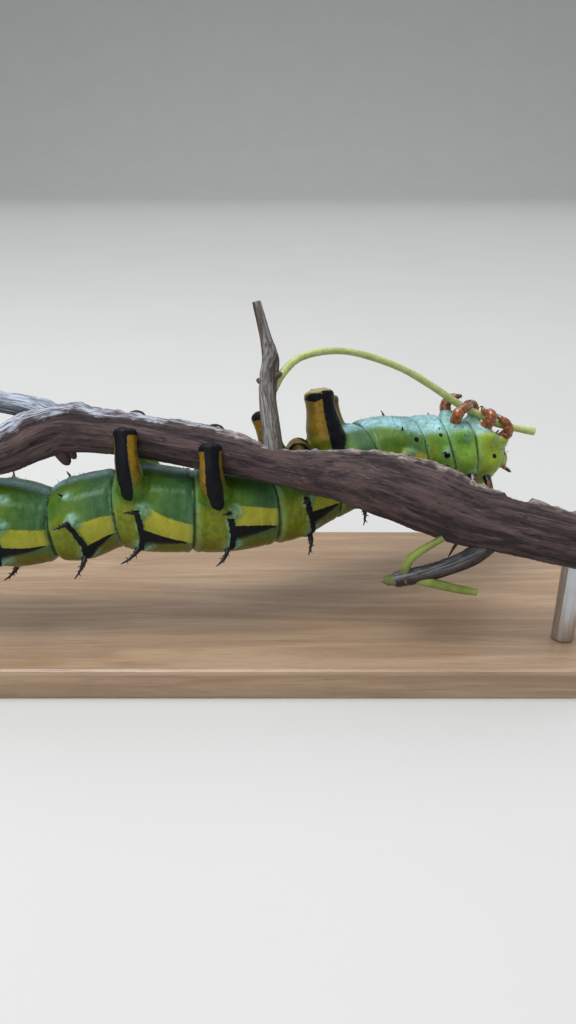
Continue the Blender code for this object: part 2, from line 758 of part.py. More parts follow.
def make_leg(body, petiole, name, segment, share, angle, grip, cutters):
    """A true leg: three tapering joints that reach up and hook over the leaf stalk."""
    route = Route(leg_points(body, petiole, segment, share, angle, grip))
    ahead = petiole.heading(grip * MM)
    rings = []
    for k in range(LEG_STATIONS):
        share_along = k / (LEG_STATIONS - 1)
        radius = between_values(LEG_RADII, share_along * (len(LEG_RADII) - 1)) * MM
        along = share_along * route.length
        across, upward = square_to(route.heading(along), ahead)
        rings.append(round_ring(route.place(along), across, upward, radius, LEG_SIDES))
    pad_clear = helper(leg_pad(body, segment, share, angle, GAP), name + "_clearance")
    cut(named(loft(rings), name, AMBER), pad_clear, *cutters)


class Head:
    """The head's place and its three directions."""

    def __init__(self, body):
        heading, self.left, belly = body.directions(body.ends[-1])
        turn = math.radians(HEAD_TILT)
        self.face = math.cos(turn) * heading + math.sin(turn) * belly
        self.crown = math.cos(turn) * belly - math.sin(turn) * heading
        self.middle = metres(HEAD_MIDDLE)

    def place(self, spot, side=1):
        """A place from (forwards, to the crown, sideways) in millimetres."""
        ahead, up, out = spot
        return self.middle + MM * (ahead * self.face + up * self.crown + side * out * self.left)

    def case(self):
        """The head's case: a rounded form with a groove between the two lobes of its crown."""
        rings = []
        for k in range(HEAD_STATIONS):
            t = HEAD_ENDS * (2.0 * k / (HEAD_STATIONS - 1) - 1.0)
            wide = math.sqrt(1 - t * t) * HEAD_RADIUS
            ring = []
            for j in range(HEAD_SIDES):
                angle = math.tau * j / HEAD_SIDES
                lobe = wide * (1.0 - CROWN_GROOVE * max(0.0, -math.sin(angle)) ** 8)
                spot = (t * HEAD_LENGTH, lobe * math.sin(angle), lobe * math.cos(angle))
                ring.append(self.place(spot))
            rings.append(ring)
        return loft(rings)

    def bit(self, spots, side=1):
        """One piece of the face, through (place, radius) spots."""
        places = [self.place(spot, side) for spot, _ in spots]
        axis = (places[-1] - places[0]).normalized()
        across, upward = square_to(axis, self.crown)
        rings = [round_ring(p, across, upward, r * MM, FACE_SIDES) for p, (_, r) in zip(places, spots)]
        return loft(rings)


def make_head(body, clearance):
    """The head with its jaws, feelers and upper lip."""
    head = Head(body)
    thing = named(head.case(), "head", HEAD_BROWN)
    pairs = [head.bit(spots, side) for spots in (JAW, FEELER) for side in (1, -1)]
    fuse(thing, pairs + [head.bit(LIP)])
    cut(thing, clearance)


def bark(along, angle):
    """The branch's uneven thickness: long low ridges that wander round it, and a crest on top."""
    wander = 90.0 * along
    ridges = 0.6 * math.sin(3 * angle + 1.3 * wander) + 0.4 * math.sin(5 * angle - 2.1 * wander + 1.0)
    crest = max(0.0, math.sin(angle)) ** 6
    return 1.0 + BARK_SWELL * ridges + BARK_CREST * crest


def make_perch():
    """The cut branch with its fork and twigs, and the leaf stalk that the legs hold."""
    named(tube(BRANCH, BRANCH_SIDES, BRANCH_STATIONS, swell=bark), "perch_branch", BARK)
    branch_clear = helper(tube(BRANCH, BRANCH_SIDES, BRANCH_STATIONS, GAP, bark), "branch_clearance")
    cut(named(tube(FORK, FORK_SIDES, FORK_STATIONS), "perch_fork", BARK), branch_clear)
    cut(named(tube(TWIG, TWIG_SIDES, TWIG_STATIONS), "perch_twig", BARK), branch_clear)
    twig_clear = helper(tube(TWIG, TWIG_SIDES, TWIG_STATIONS, GAP), "twig_clearance")
    petiole = named(tube(PETIOLE, PETIOLE_SIDES, PETIOLE_STATIONS), "perch_petiole", PETIOLE_GREEN)
    cut(petiole, twig_clear)
    petiole_clear = helper(tube(PETIOLE, PETIOLE_SIDES, PETIOLE_STATIONS, GAP), "petiole_clearance")
    side_twig = named(tube(SIDE_TWIG, SIDE_TWIG_SIDES, SIDE_TWIG_STATIONS), "perch_side_twig", BARK)
    fuse(side_twig, [tube(stub, STUB_SIDES, STUB_STATIONS) for stub in STUBS])
    cut(side_twig, branch_clear)
    return branch_clear, twig_clear, petiole_clear


def make_base():
    """The stand's flat base with rounded corners."""
    size = metres(BASE_SIZE)
    form = bmesh.new()
    bmesh.ops.create_cube(form, size=1.0)
    bmesh.ops.scale(form, vec=size, verts=form.verts[:])
    middle = (BASE_MIDDLE[0] * MM, BASE_MIDDLE[1] * MM, 0.5 * size.z)
    bmesh.ops.translate(form, vec=middle, verts=form.verts[:])
    upright = [edge for edge in form.edges if abs(edge.verts[0].co.z - edge.verts[1].co.z) > 0.5 * size.z]
    rounding = {"profile": 0.5, "affect": "EDGES", "material": -1}
    bmesh.ops.bevel(form, geom=upright, offset=BASE_CORNER * MM, segments=BASE_CORNER_STEPS, **rounding)
    rim = [edge for edge in form.edges if min(vert.co.z for vert in edge.verts) > 0.99 * size.z]
    bmesh.ops.bevel(form, geom=rim, offset=BASE_EDGE * MM, segments=BASE_EDGE_STEPS, **rounding)
    named(form, "stand_base", BASE_WOOD)


def make_rod(name, x, branch, clearance):
    """A rod from the base up to the branch."""
    steps = [k * MM for k in range(int(branch.length / MM))]
    place = branch.place(min(steps, key=lambda along: abs(branch.place(along).x - x * MM)))
    bottom = BASE_SIZE[2] * MM + GAP
    depth = place.z - bottom
    radius = ROD_RADIUS * MM
    form = bmesh.new()
    size = {"radius1": radius, "radius2": radius, "depth": depth}
    bmesh.ops.create_cone(form, cap_ends=True, segments=ROD_SIDES, **size)
    bmesh.ops.translate(form, vec=(x * MM, place.y, bottom + 0.5 * depth), verts=form.verts[:])
    cut(named(form, name, ROD_STEEL, 1.0), clearance)


def main():
    """Builds the perch, the larva and the stand, then removes the helpers."""
    clear_scene()
    body = Body()
    branch_clear, twig_clear, petiole_clear = make_perch()
    body_clear = helper(body.clearance(), "body_clearance")
    make_segments(body)
    for name, points, radii in PROLEGS:
        make_proleg(name, points, radii, (body_clear, branch_clear, twig_clear))
    petiole = Route([metres(point) for point in PETIOLE])
    for leg in LEGS:
        make_leg(body, petiole, *leg, (body_clear, petiole_clear))
    for horn in HORNS:
        make_horn(body, *horn, body_clear)
    make_head(body, body_clear)
    make_base()
    branch = Route([metres(point) for point in BRANCH])
    make_rod("stand_rod_left", ROD_LEFT_AT, branch, branch_clear)
    make_rod("stand_rod_right", ROD_RIGHT_AT, branch, branch_clear)
    for thing in [thing for thing in bpy.data.objects if thing.hide_render]:
        bpy.data.objects.remove(thing, do_unlink=True)


main()
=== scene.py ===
"""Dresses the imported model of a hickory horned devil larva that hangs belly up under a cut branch.

Lengths are in metres, or in millimetres where a name or comment says so, and +Z is up. The head
points to +X, and the animal's left side faces -Y. Angles round the body are in degrees from the
middle of the back, positive on the left side.
"""

import math
import random

import bmesh
import bpy
import numpy as np
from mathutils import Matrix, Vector, noise

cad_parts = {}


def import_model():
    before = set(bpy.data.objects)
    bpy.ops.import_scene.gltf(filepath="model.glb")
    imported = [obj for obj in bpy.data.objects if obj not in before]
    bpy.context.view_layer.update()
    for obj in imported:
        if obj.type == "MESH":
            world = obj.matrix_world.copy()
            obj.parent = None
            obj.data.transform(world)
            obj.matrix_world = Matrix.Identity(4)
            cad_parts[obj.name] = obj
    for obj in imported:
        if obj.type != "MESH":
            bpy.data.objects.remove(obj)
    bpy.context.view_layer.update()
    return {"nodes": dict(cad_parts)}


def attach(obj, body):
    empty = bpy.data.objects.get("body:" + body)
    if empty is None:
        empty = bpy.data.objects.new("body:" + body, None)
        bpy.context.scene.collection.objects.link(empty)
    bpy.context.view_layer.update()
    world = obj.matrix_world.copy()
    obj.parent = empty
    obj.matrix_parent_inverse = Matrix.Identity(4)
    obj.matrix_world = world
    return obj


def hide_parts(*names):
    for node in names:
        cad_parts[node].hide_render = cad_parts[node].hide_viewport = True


MM = 0.001
UP = np.array((0.0, 0.0, 1.0))

# Body: the tail's tip, then each segment with its front joint, all in millimetres.
TAIL_TIP = (-69.0, -1.7, 31.2)
TAIL_TIP_RADIUS = 2.6
# Name, front joint, radius at that joint, widest radius, slant of the joint's plane.
SEGMENTS = (
    ("abdomen_10", (-58.0, -2.1, 29.7), 6.2, 6.4, 0.0),
    ("abdomen_9", (-50.8, -2.0, 29.2), 7.4, 7.8, 0.0),
    ("abdomen_8", (-35.4, -1.2, 27.9), 6.8, 9.0, 0.0),
    ("abdomen_7", (-22.6, -0.1, 31.0), 7.7, 8.6, 0.0),
    ("abdomen_6", (-8.2, 0.2, 30.2), 8.35, 9.0, 0.0),
    ("abdomen_5", (6.2, 4.8, 29.6), 8.3, 8.9, 0.0),
    ("abdomen_4", (17.4, 11.3, 31.8), 8.5, 9.1, 0.0),
    ("abdomen_3", (27.4, 17.2, 34.9), 8.2, 9.0, 0.0),
    ("abdomen_2", (39.5, 20.7, 34.9), 8.25, 8.9, 0.1),
    ("abdomen_1", (46.2, 21.4, 35.3), 8.0, 8.6, 0.21),
    ("thorax_3", (50.4, 22.0, 35.2), 7.3, 8.0, 0.22),
    ("thorax_2", (54.6, 23.9, 33.8), 5.7, 7.1, 0.2),
    ("thorax_1", (57.4, 28.0, 33.2), 3.8, 5.1, 0.1),
)
NAMES = [segment[0] for segment in SEGMENTS]
BELLY_FLATTENING = 0.05
WIDEST_AT = 0.38
FULLNESS = 0.7
HEADING_STEP = 1.5 * MM

# Spines: angle from the back, length, root radius (millimetres), backward lean in degrees.
BACK_SPINE = (57.0, 6.0, 0.64, 48.0)
SIDE_SPINE = (107.0, 4.0, 0.6, 58.0)
BELLY_SPINE = (144.0, 1.9, 0.36, 25.0)
CHEST_SPINE = (130.0, 1.2, 0.34, 20.0)
SPINES_AT = {"abdomen_1": 0.8, "abdomen_2": 0.55, "thorax_2": 0.5, "thorax_3": 0.6}
SPINES_ELSEWHERE = 0.38
SPINE_SIZES = {"abdomen_1": 0.55, "abdomen_9": 0.7, "abdomen_10": 0.7}
NO_BELLY_SPINES = ("abdomen_3", "abdomen_4", "abdomen_5", "abdomen_6", "abdomen_10")
TAIL_SPINE_AT = 0.5
SPINE_VARIATION = 0.08
LEAN_VARIATION = 6.0
SPINE_SEED = 7

# Horns: name, segment, share of its length, angle, tip (millimetres), root radius.
HORNS = (
    ("horn_t1_left", "thorax_1", 0.4, 62.0, (61.0, 20.0, 30.6), 0.62),
    ("horn_t1_right", "thorax_1", 0.45, -72.0, (49.6, 33.6, 29.6), 0.62),
    ("horn_t2_side_left", "thorax_2", 0.55, 58.0, (54.8, 15.2, 11.2), 0.9),
    ("horn_t2_side_right", "thorax_2", 0.5, -60.0, (41.0, 34.6, 19.6), 0.85),
    ("horn_t2_back_left", "thorax_2", 0.5, 24.0, (61.0, 20.2, 18.4), 0.9),
    ("horn_t2_back_right", "thorax_2", 0.75, -14.0, (51.4, 32.6, 18.2), 0.9),
    ("horn_t3_side_left", "thorax_3", 0.72, 66.0, (46.9, 12.6, 12.8), 0.95),
    ("horn_t3_side_right", "thorax_3", 0.5, -64.0, (37.4, 33.6, 22.6), 0.85),
    ("horn_t3_back_left", "thorax_3", 0.5, 24.0, (44.0, 15.4, 17.8), 0.9),
    ("horn_t3_back_right", "thorax_3", 0.3, -36.0, (41.6, 28.6, 17.6), 0.9),
)
HORN_SINK = 1.2 * MM
HORN_SPREAD = 0.42
HORN_ROOT, HORN_NARROWING = 1.1, 0.75

# Prolegs: places from inside the body to the foot, and radii (millimetres).
CLASPER_RADII = (3.6, 2.6, 2.3, 2.0)
# Then the dark stripe's middle and half width, in degrees from the outer side towards the head.
PROLEGS = (
    (
        "proleg_a6_left",
        ((-18.2, -3.6, 33.4), (-18.6, -6.6, 38.9), (-19.0, -7.0, 43.8), (-19.3, -4.4, 49.0)),
        CLASPER_RADII,
        (-16.0, 38.0),
    ),
    (
        "proleg_a6_right",
        ((-18.2, 3.6, 33.4), (-18.6, 6.6, 38.9), (-19.0, 6.9, 43.8), (-19.3, 4.6, 48.6)),
        CLASPER_RADII,
        (10.0, 36.0),
    ),
    (
        "proleg_a5_left",
        ((-2.6, -3.2, 32.0), (-3.0, -6.5, 37.0), (-3.3, -7.4, 41.4), (-3.5, -5.2, 46.2)),
        CLASPER_RADII,
        (14.0, 40.0),
    ),
    (
        "proleg_a5_right",
        ((-2.2, 5.4, 32.0), (-2.8, 6.4, 37.0), (-3.3, 5.4, 41.6), (-3.7, 3.2, 46.2)),
        CLASPER_RADII,
        (10.0, 36.0),
    ),
    (
        "proleg_a4_left",
        ((10.4, 6.2, 33.5), (8.9, 5.4, 38.6), (7.0, 6.4, 43.6), (5.4, 8.4, 48.4)),
        CLASPER_RADII,
        (30.0, 40.0),
    ),
    (
        "proleg_a4_right",
        ((12.4, 11.0, 35.0), (12.7, 10.2, 38.6), (13.2, 7.8, 40.6), (13.2, 4.8, 40.4)),
        (3.0, 2.5, 2.2, 1.8),
        (10.0, 36.0),
    ),
    (
        "proleg_a3_left",
        ((20.6, 12.6, 33.8), (19.4, 11.2, 39.4), (18.1, 12.4, 45.4), (17.2, 14.4, 51.4)),
        (4.9, 4.4, 3.55, 2.65),
        (44.0, 33.0),
    ),
    (
        "proleg_a3_right",
        ((21.0, 17.6, 35.0), (20.2, 19.0, 40.6), (19.6, 20.2, 44.9), (19.2, 21.4, 48.2)),
        (4.2, 3.3, 2.8, 2.2),
        (30.0, 36.0),
    ),
    (
        "anal_proleg_left",
        ((-61.4, -3.6, 31.8), (-62.2, -6.6, 36.0), (-62.6, -7.4, 40.4), (-62.8, -5.2, 44.6)),
        (3.6, 3.1, 2.6, 2.0),
        (20.0, 60.0),
    ),
    (
        "anal_proleg_right",
        ((-61.4, 0.6, 31.8), (-62.2, 2.6, 36.0), (-62.6, 3.0, 40.4), (-62.8, 1.0, 44.6)),
        (3.6, 3.1, 2.6, 2.0),
        (20.0, 60.0),
    ),
)

# True legs: name, segment, share of its length, angle, place on the leaf stalk (millimetres along it).
LEGS = (
    ("leg_t3_left", "thorax_3", 0.5, 158.0, 53.1),
    ("leg_t3_right", "thorax_3", 0.45, -158.0, 50.6),
    ("leg_t2_left", "thorax_2", 0.5, 158.0, 56.4),
    ("leg_t2_right", "thorax_2", 0.4, -164.0, 53.9),
    ("leg_t1_left", "thorax_1", 0.4, 138.0, 60.2),
    ("leg_t1_right", "thorax_1", 0.76, -148.0, 58.8),
)
LEG_RADII = (1.35, 1.25, 1.0, 0.72, 0.34)
LEG_KNEE = 2.4
LEG_BOW = 0.35
LEG_HOOK = (1.55, 1.0)
LEG_CLAW = (0.1, 1.75)

# Head: middle, half its length, radius (millimetres), and how far the face turns to the belly.
HEAD_MIDDLE = (57.1, 32.8, 33.3)
HEAD_LENGTH = 3.3
HEAD_RADIUS = 3.9
HEAD_TILT = 38.0

# Perch: each middle line with its radius (millimetres).
BRANCH = (
    (-76.0, -3.2, 40.6, 4.1),
    (-59.0, -2.6, 41.8, 4.2),
    (-45.5, -2.6, 43.0, 4.1),
    (-38.5, -0.6, 45.4, 4.4),
    (-32.0, 0.4, 47.0, 4.5),
    (-24.0, 0.2, 46.4, 4.0),
    (-15.0, -0.4, 45.2, 4.0),
    (-6.0, -1.2, 43.7, 4.2),
    (1.5, -1.8, 42.1, 3.7),
    (6.5, -2.2, 40.7, 3.2),
    (11.5, -2.6, 39.9, 3.4),
    (16.0, -3.0, 39.3, 4.1),
    (22.0, -3.4, 38.7, 4.9),
    (29.0, -4.2, 37.4, 6.0),
    (38.0, -5.8, 34.8, 6.5),
    (44.5, -7.1, 32.3, 5.9),
    (54.0, -8.3, 30.4, 5.4),
    (63.0, -9.0, 28.2, 5.0),
    (72.0, -9.6, 26.6, 4.8),
)
BARK_SWELL = 0.06
BARK_CREST = 0.08
FORK = (
    (-31.0, 0.8, 47.6, 2.6),
    (-37.5, 1.6, 50.6, 2.3),
    (-46.8, 1.9, 52.2, 1.8),
    (-58.0, 2.2, 52.8, 1.5),
)
TWIG = (
    (8.3, -2.0, 41.4, 2.2),
    (7.8, 0.4, 46.2, 1.85),
    (7.1, 3.6, 52.0, 1.65),
    (7.3, 5.6, 55.6, 1.8),
    (7.6, 7.2, 59.0, 1.7),
    (6.7, 8.6, 62.8, 1.1),
    (4.9, 9.8, 69.6, 0.85),
)
PETIOLE = (
    (7.8, 4.6, 53.2, 0.95),
    (10.0, 6.6, 56.4, 0.8),
    (13.4, 9.8, 58.7, 0.75),
    (19.5, 14.0, 59.1, 0.7),
    (25.9, 17.5, 57.7, 0.7),
    (34.9, 20.8, 54.0, 0.7),
    (41.9, 22.6, 49.8, 0.75),
    (49.0, 23.4, 45.1, 0.8),
    (53.7, 23.6, 42.7, 0.8),
    (57.7, 23.8, 40.7, 0.75),
    (63.1, 24.2, 39.3, 0.75),
    (66.5, 24.4, 38.6, 0.85),
)
SIDE_TWIG = (
    (50.2, -8.6, 27.4, 1.9),
    (46.4, -9.6, 24.6, 1.8),
    (41.2, -10.4, 22.6, 1.6),
    (35.8, -11.0, 21.2, 1.6),
    (31.6, -11.0, 20.3, 1.5),
    (28.6, -11.0, 20.1, 0.5),
)
STUBS = (
    (
        (33.2, -11.0, 21.0, 0.9), (34.2, -11.2, 24.7, 0.8),
        (36.9, -11.4, 27.2, 0.7), (40.2, -11.6, 29.6, 0.65),
    ),
    (
        (34.0, -11.2, 20.8, 0.9), (38.2, -12, 20.2, 0.95),
        (43.1, -12.4, 19.1, 0.85), (47.3, -12.6, 18.4, 0.7),
    ),
)

# Camera: place, lens and downward pitch that give the photograph's framing.
CAMERA_PLACE = (0.011, -0.1421, 0.09295)
CAMERA_PITCH = 24.0
CAMERA_LENS = 27.18


def unit(vectors):
    """Vectors of length one, row by row."""
    return vectors / np.maximum(np.linalg.norm(vectors, axis=-1, keepdims=True), 1e-12)


def dot(a, b):
    """The dot product, row by row."""
    return (a * b).sum(axis=-1)


def column(values):
    """Numbers as a column, to multiply rows of vectors."""
    return np.asarray(values)[..., None]


def ease(values, low, high):
    """0 below low, 1 above high, and a smooth rise between."""
    share = np.clip((np.asarray(values) - low) / (high - low), 0.0, 1.0)
    return share * share * (3.0 - 2.0 * share)


def bell(values, middle, width):
    """1 at the middle, falling away to nothing within about two widths."""
    return np.exp(-(((np.asarray(values) - middle) / width) ** 2))


class Route:
    """A smooth curve through places, read by the distance along it in metres."""

    STEPS = 12

    def __init__(self, places):
        places = [np.asarray(place, float)[:3] * MM for place in places]
        knots = [2 * places[0] - places[1], *places, 2 * places[-1] - places[-2]]
        samples = []
        for i in range(1, len(knots) - 2):
            for step in range(self.STEPS):
                samples.append(self.between(knots[i - 1 : i + 3], step / self.STEPS))
        samples = np.array([*samples, places[-1]])
        steps = np.linalg.norm(np.diff(samples, axis=0), axis=1)
        marks = np.concatenate([[0.0], np.cumsum(steps)])
        self.knots = marks[:: self.STEPS]
        self.length = marks[-1]
        before = samples[0] - (samples[1] - samples[0]) / steps[0] * 0.02
        after = samples[-1] + (samples[-1] - samples[-2]) / steps[-1] * 0.02
        self.marks = np.concatenate([[-0.02], marks, [self.length + 0.02]])
        self.samples = np.vstack([before, samples, after])

    @staticmethod
    def between(four, t):
        """The place at share t between the middle two of four knots."""
        a, b, c, d = four
        bend = (2 * a - 5 * b + 4 * c - d) * t**2 + (3 * b - a - 3 * c + d) * t**3
        return 0.5 * (2 * b + (c - a) * t + bend)

    def place(self, along):
        """The points at distances along the curve."""
        return np.stack([np.interp(along, self.marks, self.samples[:, i]) for i in range(3)], axis=-1)

    def heading(self, along):
        """The curve's directions at distances along it."""
        along = np.asarray(along)
        return unit(self.place(along + HEADING_STEP) - self.place(along - HEADING_STEP))

    def sides(self, along, near=UP):
        """Two directions square to the curve, the second nearest to the given one."""
        heading = self.heading(along)
        across = unit(np.cross(heading, np.broadcast_to(near, heading.shape)))
        return across, unit(np.cross(across, heading))

    def closest(self, points):
        """The distance along the curve that is closest to each point."""
        spots = np.linspace(0.0, self.length, 160)
        best = np.full(len(points), 1e9)
        along = np.zeros(len(points))
        for spot, place in zip(spots, self.place(spots)):
            gap = ((points - place) ** 2).sum(axis=1)
            nearer = gap < best
            best[nearer] = gap[nearer]
            along[nearer] = spot
        return along


class Body:
    """The larva's middle line, with the size and direction of every cross-section."""

    def __init__(self):
        joints = [TAIL_TIP] + [segment[1] for segment in SEGMENTS]
        self.route = Route(joints)
        self.ends = self.route.knots
        self.joint_radii = np.array([TAIL_TIP_RADIUS] + [segment[2] for segment in SEGMENTS]) * MM
        self.wide_radii = np.array([segment[3] for segment in SEGMENTS]) * MM
        self.slants = np.array([0.0] + [segment[4] for segment in SEGMENTS])

    def along(self, spot):
        """The distance from the tail of a spot: the segment's number plus the share of its length."""
        return np.interp(spot, np.arange(len(self.ends)), self.ends)

    def spot(self, along):
        """The spot at a distance from the tail."""
        return np.interp(along, self.ends, np.arange(len(self.ends)))

    def radius(self, spot):
        """The body's radius: drawn in at the joints and fullest a little behind each middle."""
        joint = np.interp(spot, np.arange(len(self.ends)), self.joint_radii)
        i = np.minimum(np.floor(spot).astype(int), len(SEGMENTS) - 1)
        share = spot - i
        side = np.where(share < WIDEST_AT, share / WIDEST_AT, (1 - share) / (1 - WIDEST_AT))
        rise = np.sin(0.5 * math.pi * np.clip(side, 0.0, 1.0)) ** FULLNESS
        return joint + (self.wide_radii[i] - joint) * rise

    def directions(self, along):
        """Heading, left and belly directions of the cross-sections at distances from the tail."""
        heading = self.route.heading(along)
        left = unit(np.cross(heading, np.broadcast_to(UP, heading.shape)))
        return heading, left, unit(np.cross(left, heading))

    def slant(self, along):
        """How far the belly side of a cross-section lies back."""
        return np.interp(self.spot(along), np.arange(len(self.ends)), self.slants)

    def flat(self, angle):
        """The share of the radius that is left on the flattened belly."""
        return 1.0 - BELLY_FLATTENING * np.maximum(0.0, -np.cos(np.radians(angle))) ** 3

    def skin(self, spot, angle, grow=0.0):
        """Points on the skin at spots and angles."""
        spot, angle = np.asarray(spot, float), np.asarray(angle, float)
        along = self.along(spot)
        heading, left, belly = self.directions(along)
        turn = np.radians(angle)
        leaning = belly - column(self.slant(along)) * heading
        reach = self.radius(spot) * self.flat(angle) + grow
        return self.route.place(along) + column(reach) * (
            column(np.sin(turn)) * left - column(np.cos(turn)) * leaning
        )

    def outward(self, spot, angle):
        """The directions out of the body at spots and angles."""
        _, left, belly = self.directions(self.along(spot))
        turn = np.radians(angle)
        return column(np.sin(turn)) * left - column(np.cos(turn)) * belly

    def surface(self, name, share, angle):
        """A point on a segment's skin, with the directions out of it and back along the body."""
        spot = NAMES.index(name) + share
        place = self.skin(spot, angle)
        return place, self.outward(spot, angle), -self.route.heading(self.along(spot))

    def locate(self, points):
        """Each point's spot, its angle, and its height over the plain skin."""
        along = np.zeros(len(points))
        grid = np.linspace(0.0, self.route.length, 400)
        places = self.route.place(grid)
        for part in np.array_split(np.arange(len(points)), 40):
            gaps = ((points[part][:, None, :] - places[None, :, :]) ** 2).sum(axis=2)
            along[part] = grid[gaps.argmin(axis=1)]
        for _ in range(6):
            heading, _, belly = self.directions(along)
            normal = unit(heading + column(self.slant(along)) * belly)
            along = along + 0.8 * dot(points - self.route.place(along), normal)
            along = np.clip(along, 0.0, self.route.length)
        _, left, belly = self.directions(along)
        offset = points - self.route.place(along)
        angle = np.degrees(np.arctan2(dot(offset, left), -dot(offset, belly)))
        spot = self.spot(along)
        return spot, angle, np.linalg.norm(offset, axis=1) - self.radius(spot) * self.flat(angle)


BODY = Body()


def face_outwards(form):
    """Turns the faces of a closed form outwards."""
    bmesh.ops.recalc_face_normals(form, faces=form.faces[:])
    if form.calc_volume(signed=True) < 0.0:
        bmesh.ops.reverse_faces(form, faces=form.faces[:])


def wrapped(sides, stations, place):
    """A closed form made from a grid: place turns shares round and along it into points."""
    form = bmesh.new()
    bmesh.ops.create_grid(form, x_segments=sides, y_segments=stations, size=1.0)
    flat = np.array([vert.co[:2] for vert in form.verts])
    around = np.round((flat[:, 0] + 1.0) * 0.5 * sides) / sides
    ahead = np.round((flat[:, 1] + 1.0) * 0.5 * stations) / stations
    for vert, point in zip(form.verts, place(around, ahead)):
        vert.co = point
    bmesh.ops.remove_doubles(form, verts=form.verts[:], dist=1e-6)
    face_outwards(form)
    return form


def share_along(route, point):
    """The share of a route that is closest to a point."""
    return float(route.closest(np.array([point]))[0] / route.length)


def rounded_end(ahead, share, power=0.5):
    """The part of the radius left near both ends of a form, so that each closes in a dome."""
    side = np.clip(np.minimum(ahead, 1.0 - ahead) / share, 0.0, 1.0)
    return (1.0 - (1.0 - side) ** 2) ** power


def tube_form(points, sides, stations, close=0.04, bulge=None, near=UP):
    """A closed round form along (x, y, z, radius) points in millimetres. bulge scales the radius."""
    route = Route(points)
    radii = np.array([point[3] for point in points]) * MM

    def place(around, ahead):
        along = ahead * route.length
        across, upward = route.sides(along, near)
        turn = math.tau * around
        radius = np.interp(along, route.knots, radii) * rounded_end(ahead, close)
        if bulge:
            radius = radius * bulge(around, ahead)
        return route.place(along) + column(radius) * (
            column(np.cos(turn)) * across + column(np.sin(turn)) * upward
        )

    return wrapped(sides, stations, place)


def gathered(forms):
    """One form that holds several."""
    whole = forms[0]
    for form in forms[1:]:
        mesh = bpy.data.meshes.new("part")
        form.to_mesh(mesh)
        form.free()
        whole.from_mesh(mesh)
        bpy.data.meshes.remove(mesh)
    return whole


def piece(form, name, finish=None, nodes=(), smooth_up_to=60.0):
    """An object of the larva or its perch, riding on the frame and standing for its CAD nodes."""
    mesh = bpy.data.meshes.new(name)
    form.to_mesh(mesh)
    form.free()
    thing = bpy.data.objects.new(name, mesh)
    bpy.context.scene.collection.objects.link(thing)
    mesh.shade_smooth()
    if smooth_up_to:
        mesh.set_sharp_from_angle(angle=math.radians(smooth_up_to))
    if finish:
        mesh.materials.append(finish)
    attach(thing, "root")
    if nodes:
        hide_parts(*nodes)
    return thing


def coordinates(mesh):
    """The vertices of a mesh, as rows."""
    flat = np.empty(len(mesh.vertices) * 3, np.float32)
    mesh.vertices.foreach_get("co", flat)
    return flat.reshape(-1, 3).astype(float)


def normals_of(mesh):
    """The vertex normals of a mesh, as rows."""
    flat = np.empty(len(mesh.vertices) * 3, np.float32)
    mesh.vertex_normals.foreach_get("vector", flat)
    return flat.reshape(-1, 3).astype(float)


def move_to(mesh, points):
    """Puts a mesh's vertices at new places."""
    mesh.vertices.foreach_set("co", points.astype(np.float32).ravel())
    mesh.update()


def tell(mesh, name, values):
    """Keeps one number a vertex under a name that a material reads."""
    layer = mesh.attributes.new(name, "FLOAT", "POINT")
    layer.data.foreach_set("value", np.asarray(values, np.float32))


def roughness_of(points, scale, seed, octaves=3):
    """Smooth noise at points, about -1 to 1, at so many waves a metre."""
    shift = Vector((seed, -seed, 0.5 * seed))
    return np.array([noise.fractal(Vector(p) * scale + shift, 0.6, 2.1, octaves) for p in points])


# Skin: the voxel that joins its forms, its smoothing, its finest roughness, and its first forms' grids.
SKIN_VOXEL = 0.368 * MM
SKIN_SMOOTHING = 3
FINE_DEPTH, FINE_WAVES = 0.035 * MM, 900.0
BODY_GRID, SHIELD_GRID, PROLEG_GRID, WART_GRID = (72, 260), (40, 22), (36, 44), (14, 8)
# The last joint that is drawn in, as a spot along the body.
LAST_JOINT = 12.5
# Shallow creases across each long segment: share of its length, width in shares, depth.
CREASES = (
    (0.12, 0.022, 0.1),
    (0.3, 0.02, 0.04),
    (0.56, 0.02, 0.04),
    (0.74, 0.022, 0.06),
    (0.88, 0.022, 0.08),
)
# Joint folds, in millimetres: how deep and wide the groove is, and how high its rolls.
FOLD_DEPTH, FOLD_WIDTH, FOLD_ROLL = 0.58, 0.3, 0.16
# Yellow patch in front of the side spines: angle of its upper and lower edge at PATCH_AT.
PATCH_AT = (0.36, 0.47, 0.72, 1.0)
PATCHES = {
    "abdomen_2": ((112, 116, 111, 106), (92, 93, 90, 87), 74),
    "abdomen_3": ((112, 115, 110, 103), (88, 88, 84, 80), 60),
    "abdomen_4": ((112, 114, 109, 103), (86, 86, 82, 77), 56),
    "abdomen_5": ((113, 115, 111, 104), (88, 88, 85, 79), 57),
    "abdomen_6": ((110, 113, 102, 92), (83, 82, 73, 61), 52),
    "abdomen_7": ((99, 103, 102, 101), (70, 68, 70, 73), 42),
    "abdomen_8": ((103, 105, 105, 103), (80, 79, 78, 77), 56),
}
# Segments whose patch is only a faint tint with no black, and how faint.
FAINT_PATCHES = {"abdomen_2": 0.22}
# The black line from the side spine to the back spine: shares past the spines, and angles.
LINE_KNOTS = ((-0.02, 107.0), (0.015, 92.0), (0.045, 74.0), (0.03, 57.0))
LINE_HALF_WIDTH = 0.57
# Signed distances in millimetres: far outside a marking, and how far a proleg puts a vertex outside.
NOWHERE = -9.0
OFF_PROLEGS = 6.0
# A proleg's length in millimetres, nearly enough, for markings near its foot.
PROLEG_LENGTH = 16.0
WART_REACH = 2.6 * MM


